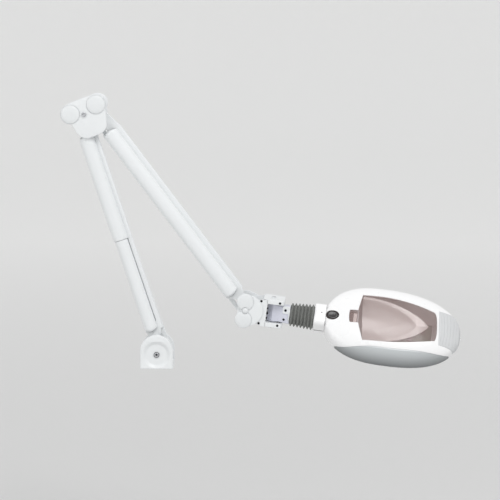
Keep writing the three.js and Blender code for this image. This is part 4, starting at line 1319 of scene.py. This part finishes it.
def build_grip(sizes):
    """Grey grip over the far end with curved grooves along its edge."""
    form = HeadForm
    rows = []
    stations = [GRIP["from"] + (240.35 - GRIP["from"]) * math.sin(math.pi / 2 * i / 90) for i in range(91)]
    for u in stations:
        half = form.plan(u)
        if half > GRIP["half"]:
            low = form.at_width(u, GRIP["half"])
        else:
            drop = eased((GRIP["half"] - half) / 12)
            low = form.at_height(u, form.level + (GRIP["low"] - form.level) * drop)
        row = []
        for i in range(41):
            angle = low + (math.pi - 2 * low) * i / 40
            across = abs(i - 20) / 20
            bent = u + 5.5 * across**2 * (1 - (u - GRIP["from"]) / 40)
            pattern = (bent - GRIP["from"] - 5) / 5.6
            groove = 0.0
            if 0 < pattern < 6 and across < 0.86:
                groove = 0.9 * max(0.0, math.cos(TAU * pattern)) ** 6
            border = min(1.0, (u - GRIP["from"]) / 0.8, (1 - across) * 12, (240.35 - u) / 1.5)
            row.append(form.point(u, angle, -0.9 * max(0.0, border) ** 0.5 + groove))
        rows.append(row)
    grip = grid("grip_end", HEAD, rows, 1.6)
    fitted(grip, "head", "grip_plastic", FINISHES["grip"], "end_grip")


# ------------------------------------------------------------------ inside the head
def leaf_half(u, start=66.0, tip=182.0, half=44.0):
    t = min(1.0, max(0.0, (u - start) / (tip - start)))
    return half * max(0.0, 1 - t**2.1) ** 0.8


def build_optics(sizes):
    """Leaf-shaped reflector with a deep bowl, the light source, heat sink and driver board."""
    start = HeadForm.start
    level = -span("reflector", HEAD, 1)[0]
    rows = []
    columns = 48
    for i in range(columns + 1):
        u = 66 + 116 * math.sin(math.pi / 2 * i / columns)
        outer = max(0.05, leaf_half(u))
        t = min(1.0, max(0.0, (u - 63) / (160 - 63)))
        inner = max(0.0, 40 * (1 - t**2.2) ** 0.75) if t < 1 else 0.0
        inner = min(inner, outer * 0.93)
        row = []
        for k in range(49):
            s = (k - 24) / 24
            v = outer * s
            if inner > 0.2 and abs(v) < inner:
                lengthwise = math.sqrt(max(0.0, 1 - t**2))
                depth = 30 * lengthwise * (1 - (abs(v) / inner) ** 2.4) ** 0.55
            else:
                depth = 1.6 * max(0.0, 1 - (abs(v) - inner) / max(0.5, outer - inner))
            row.append((start + u - HeadForm.lean(u, v), -(level - 0.4 - depth), v))
        rows.append(row)
    bowl = grid("reflector_bowl", HEAD, rows, 1.2)
    fitted(bowl, "head", "mirror", FINISHES["mirror"], "reflector")

    low, high = -span("light_source", HEAD, 1)[1], -span("light_source", HEAD, 1)[0]
    near, far = span("light_source", HEAD, 0)
    half = span("light_source", HEAD, 2)[1]
    base = prism("source_housing", HEAD, rounded_rectangle(near, far, -half, half, 2), -high, -low, (), 0.8)
    fitted(base, "head", "source_body", FINISHES["source"], "light_source")
    plate = rounded_rectangle((near + far) / 2, far - 1, -half + 2, half - 2, 1)
    chip = prism("source_emitter", HEAD, plate, -high - 0.9, -high - 0.05, (), 0.3)
    fitted(chip, "head", "source_body", FINISHES["phosphor"])
    keep(["heat_sink"], "aluminium")
    keep(["driver_board"], "board")
    board_near, board_far = span("driver_board", HEAD, 0)
    surface = span("driver_board", HEAD, 1)[0]
    parts = ((10, -14, 9, 7, 3), (30, 8, 12, 12, 2.2), (52, -10, 7, 14, 5), (70, 12, 10, 8, 3),
             (80, -12, 6, 6, 4))
    for index, (x, z, long, wide, tall) in enumerate(parts):
        left = board_near + x
        outline = rounded_rectangle(left, left + long, z - wide / 2, z + wide / 2, 0.6)
        part = prism(f"board_part_{index}", HEAD, outline, surface - tall, surface - 0.05, (), 0.25)
        fitted(part, "head", "black_gloss", FINISHES["chip"])


def build_button(sizes):
    """Oval power button in its rim."""
    top = span("power_button", HEAD, 1)[0]
    depth = span("button_bezel", HEAD, 1)[1]
    rim = prism("button_rim", HEAD, oval(*BUTTON, 1.5), top + 0.5, depth, [oval(*BUTTON, 0.3)], 0.5)
    fitted(rim, "head", "dark_rubber", FINISHES["rim"], "button_bezel")
    rings = []
    levels = [(1.0, depth - 3), (1.0, top + 1.0), (0.985, top + 0.55), (0.95, top + 0.25),
              (0.88, top + 0.08), (0.75, top + 0.05), (0.55, top + 0.22), (0.3, top + 0.4), (0.08, top + 0.45)]
    for share, y in levels:
        rings.append([(x, y, z) for x, z in oval(*BUTTON, 0.0, share)])
    button = loft("button_cap", HEAD, rings)
    fitted(button, "button", "black_gloss", FINISHES["button"], "power_button")


# ------------------------------------------------------------------ stage
def lamp(name, place, target, size, power):
    light = bpy.data.lights.new(name, "AREA")
    light.shape = "RECTANGLE"
    light.size, light.size_y = size
    light.energy = power
    obj = bpy.data.objects.new(name, light)
    obj.location = place
    obj.rotation_euler = (Vector(target) - Vector(place)).to_track_quat("-Z", "Y").to_euler()
    bpy.context.scene.collection.objects.link(obj)


def build_stage(sizes, colours):
    """Round pale floor that curves up into a rim all the way round, with painted light: darker near the middle
    and faintly glowing further out; soft lights and the camera.
    """
    floor, flat, curve, corners = -0.34, 8.0, 1.6, 96
    rows = [(reach, floor) for reach in (0.01, 1.0, 3.0, 5.5, flat)]
    for i in range(1, 13):
        a = math.pi / 2 * i / 12
        rows.append((flat + curve * math.sin(a), floor + curve * (1 - math.cos(a))))
    rows.append((flat + curve, 3.4))
    turns = [2 * math.pi * i / corners for i in range(corners)]
    verts = [(reach * math.cos(a), reach * math.sin(a), z) for reach, z in rows for a in turns]
    faces = [(r * corners + i, r * corners + (i + 1) % corners, (r + 1) * corners + (i + 1) % corners,
              (r + 1) * corners + i)[::-1] for r in range(len(rows) - 1) for i in range(corners)]
    faces.append(tuple(range(corners)))
    mesh = bpy.data.meshes.new("backdrop")
    mesh.from_pydata(verts, [], faces)
    backdrop = bpy.data.objects.new("backdrop", mesh)
    bpy.context.scene.collection.objects.link(backdrop)
    for polygon in mesh.polygons:
        polygon.use_smooth = True
    # Painted light: the backdrop's colour is darker near the middle and lighter further out, where it also
    # glows faintly.
    tree = Tree("backdrop_painted_light")
    reach = tree.add("VectorMath", {"operation": "LENGTH"}, {"Vector": tree.coordinates()}, "Value")
    far = ((reach - 0.5) * 0.22).clamped()
    mesh.materials.append(tree.finish(
        Base_Color=tree.mix(far, shade(colours.wall, 0.82), colours.wall),
        Roughness=0.9,
        Emission_Color=tree.mix(far, (0, 0, 0), (0.09, 0.09, 0.089)),
        Emission_Strength=1.0,
        Normal=tree.bump(tree.noise(60, 5), 0.15, 0.004),
    ))

    world = bpy.data.worlds.new("studio")
    world.use_nodes = True
    world.node_tree.nodes["Background"].inputs[0].default_value = (1, 1, 1, 1)
    world.node_tree.nodes["Background"].inputs[1].default_value = sizes.ambient
    scene = bpy.context.scene
    scene.world = world
    scene.view_settings.view_transform = "Standard"
    middle = (0.16, 0, 0.2)
    lamp("key", (1.1, -2.2, 3.0), middle, (1.5, 1.5), sizes.key)
    lamp("fill", (-2.2, -2.2, 1.0), middle, (2.0, 2.0), sizes.key * 0.22)

    azimuth, elevation = math.radians(sizes.azimuth), math.radians(sizes.elevation)
    away = Vector((math.sin(azimuth) * math.cos(elevation), -math.cos(azimuth) * math.cos(elevation),
                   math.sin(elevation)))
    target = Vector((sizes.aim_x, 0, sizes.aim_z))
    camera = bpy.data.cameras.new("camera")
    camera.lens = camera.sensor_width * sizes.distance / sizes.picture_width
    camera.clip_end = 100
    obj = bpy.data.objects.new("camera", camera)
    obj.location = target + away * sizes.distance
    obj.rotation_euler = (-away).to_track_quat("-Z", "Y").to_euler()
    scene.collection.objects.link(obj)
    scene.camera = obj


# ------------------------------------------------------------------ settings, operators and panel
class LightSizes(bpy.types.PropertyGroup):
    """Sizes that a user would change."""

    edge: FloatProperty(name="Edge round", description="Rounding of plate edges, mm", default=0.9, min=0.1)
    ridges: IntProperty(name="Bellows ridges", description="Ridges on the rubber bellows", default=7, min=3)
    azimuth: FloatProperty(name="Azimuth", description="Camera angle round the light, degrees", default=2.5)
    elevation: FloatProperty(name="Elevation", description="Camera angle above level, degrees", default=6.5)
    distance: FloatProperty(name="Distance", description="Camera distance", default=6.0, unit="LENGTH")
    picture_width: FloatProperty(name="Width", description="Width in view", default=0.881, unit="LENGTH")
    aim_x: FloatProperty(name="Aim X", description="Point looked at, along X", default=0.1639, unit="LENGTH")
    aim_z: FloatProperty(name="Aim Z", description="Point looked at, height", default=0.2091, unit="LENGTH")
    key: FloatProperty(name="Key light", description="Power of the key light, W", default=44.0)
    ambient: FloatProperty(name="Ambient", description="Strength of the room light", default=0.72)


def colour(name, description, value):
    return FloatVectorProperty(
        name=name, description=description, default=value, subtype="COLOR", size=3, min=0, max=1
    )


class LightColours(bpy.types.PropertyGroup):
    """Colours that a user would change."""

    arm: colour("Arms", "Paint of the arms and plates", (0.84, 0.86, 0.87))
    head: colour("Head", "Plastic of the lamp head", (0.95, 0.95, 0.955))
    cap: colour("Caps", "Plastic of the joint caps", (0.81, 0.83, 0.84))
    # The block's darker lavender colour is painted shade on its face.
    block: colour("Block", "Paint of the swivel block", (0.68, 0.69, 0.78))
    bellows: colour("Bellows", "Rubber of the bellows", (0.17, 0.175, 0.165))
    panel: colour("Side panels", "Metal of the side panels", (0.46, 0.48, 0.49))
    grip: colour("Grip", "Plastic of the end grip", (0.66, 0.67, 0.68))
    window: colour("Window", "Tint of the window", (0.56, 0.42, 0.40))
    wall: colour("Wall", "Floor and backdrop", (0.86, 0.862, 0.86))


class LightOperator:
    """Shared by every operator: builds one group of pieces."""

    bl_options = {"REGISTER", "UNDO"}

    def execute(self, context):
        self.build(context.scene.light_sizes)
        return {"FINISHED"}


class LIGHT_OT_finishes(bpy.types.Operator):
    """Make every material of the light"""

    bl_idname = "operating_light.finishes"
    bl_label = "Finishes"

    def execute(self, context):
        make_finishes(context.scene.light_colours)
        return {"FINISHED"}


class LIGHT_OT_stage(bpy.types.Operator):
    """Make the backdrop, lights and camera"""

    bl_idname = "operating_light.stage"
    bl_label = "Stage"

    def execute(self, context):
        build_stage(context.scene.light_sizes, context.scene.light_colours)
        return {"FINISHED"}


class LIGHT_OT_hub(LightOperator, bpy.types.Operator):
    """Build the base hub"""

    bl_idname = "operating_light.hub"
    bl_label = "Base hub"
    build = staticmethod(build_hub)


class LIGHT_OT_lower_arm(LightOperator, bpy.types.Operator):
    """Build the lower arm"""

    bl_idname = "operating_light.lower_arm"
    bl_label = "Lower arm"
    build = staticmethod(build_lower_arm)


class LIGHT_OT_elbow(LightOperator, bpy.types.Operator):
    """Build the elbow"""

    bl_idname = "operating_light.elbow"
    bl_label = "Elbow"
    build = staticmethod(build_elbow)


class LIGHT_OT_upper_arm(LightOperator, bpy.types.Operator):
    """Build the upper arm"""

    bl_idname = "operating_light.upper_arm"
    bl_label = "Upper arm"
    build = staticmethod(build_upper_arm)


class LIGHT_OT_wrist(LightOperator, bpy.types.Operator):
    """Build the wrist"""

    bl_idname = "operating_light.wrist"
    bl_label = "Wrist"
    build = staticmethod(build_wrist)


class LIGHT_OT_fork(LightOperator, bpy.types.Operator):
    """Build the fork"""

    bl_idname = "operating_light.fork"
    bl_label = "Fork"
    build = staticmethod(build_fork)


class LIGHT_OT_block(LightOperator, bpy.types.Operator):
    """Build the swivel block"""

    bl_idname = "operating_light.block"
    bl_label = "Swivel block"
    build = staticmethod(build_block)


class LIGHT_OT_neck(LightOperator, bpy.types.Operator):
    """Build the bellows and neck"""

    bl_idname = "operating_light.neck"
    bl_label = "Bellows and neck"
    build = staticmethod(build_neck)


class LIGHT_OT_shells(LightOperator, bpy.types.Operator):
    """Build the head shells and side panels"""

    bl_idname = "operating_light.shells"
    bl_label = "Head shells"
    build = staticmethod(build_shells)


class LIGHT_OT_window(LightOperator, bpy.types.Operator):
    """Build the tinted window"""

    bl_idname = "operating_light.window"
    bl_label = "Window"
    build = staticmethod(build_window)


class LIGHT_OT_grip(LightOperator, bpy.types.Operator):
    """Build the end grip"""

    bl_idname = "operating_light.grip"
    bl_label = "End grip"
    build = staticmethod(build_grip)


class LIGHT_OT_optics(LightOperator, bpy.types.Operator):
    """Build the reflector, light source, heat sink and board"""

    bl_idname = "operating_light.optics"
    bl_label = "Optics"
    build = staticmethod(build_optics)


class LIGHT_OT_button(LightOperator, bpy.types.Operator):
    """Build the power button"""

    bl_idname = "operating_light.button"
    bl_label = "Power button"
    build = staticmethod(build_button)


OPERATORS = (
    LIGHT_OT_finishes, LIGHT_OT_hub, LIGHT_OT_lower_arm, LIGHT_OT_elbow, LIGHT_OT_upper_arm, LIGHT_OT_wrist,
    LIGHT_OT_fork, LIGHT_OT_block, LIGHT_OT_neck, LIGHT_OT_shells, LIGHT_OT_window, LIGHT_OT_grip,
    LIGHT_OT_optics, LIGHT_OT_button, LIGHT_OT_stage,
)


class LIGHT_PT_panel(bpy.types.Panel):
    """Lists the settings and the builders of the light"""

    bl_label = "Operating Light"
    bl_idname = "LIGHT_PT_panel"
    bl_space_type = "VIEW_3D"
    bl_region_type = "UI"
    bl_category = "Operating Light"

    def draw(self, context):
        for group in (context.scene.light_sizes, context.scene.light_colours):
            for key in group.__class__.__annotations__:
                self.layout.prop(group, key)
        for operator in OPERATORS:
            self.layout.operator(operator.bl_idname)


CLASSES = (LightSizes, LightColours, *OPERATORS, LIGHT_PT_panel)


def register():
    for cls in CLASSES:
        bpy.utils.register_class(cls)
    bpy.types.Scene.light_sizes = PointerProperty(type=LightSizes)
    bpy.types.Scene.light_colours = PointerProperty(type=LightColours)


def unregister():
    del bpy.types.Scene.light_sizes
    del bpy.types.Scene.light_colours
    for cls in reversed(CLASSES):
        bpy.utils.unregister_class(cls)


def main():
    register()
    for operator in OPERATORS:
        getattr(bpy.ops.operating_light, operator.bl_idname.split(".")[1])()


if __name__ == "__main__":
    main()
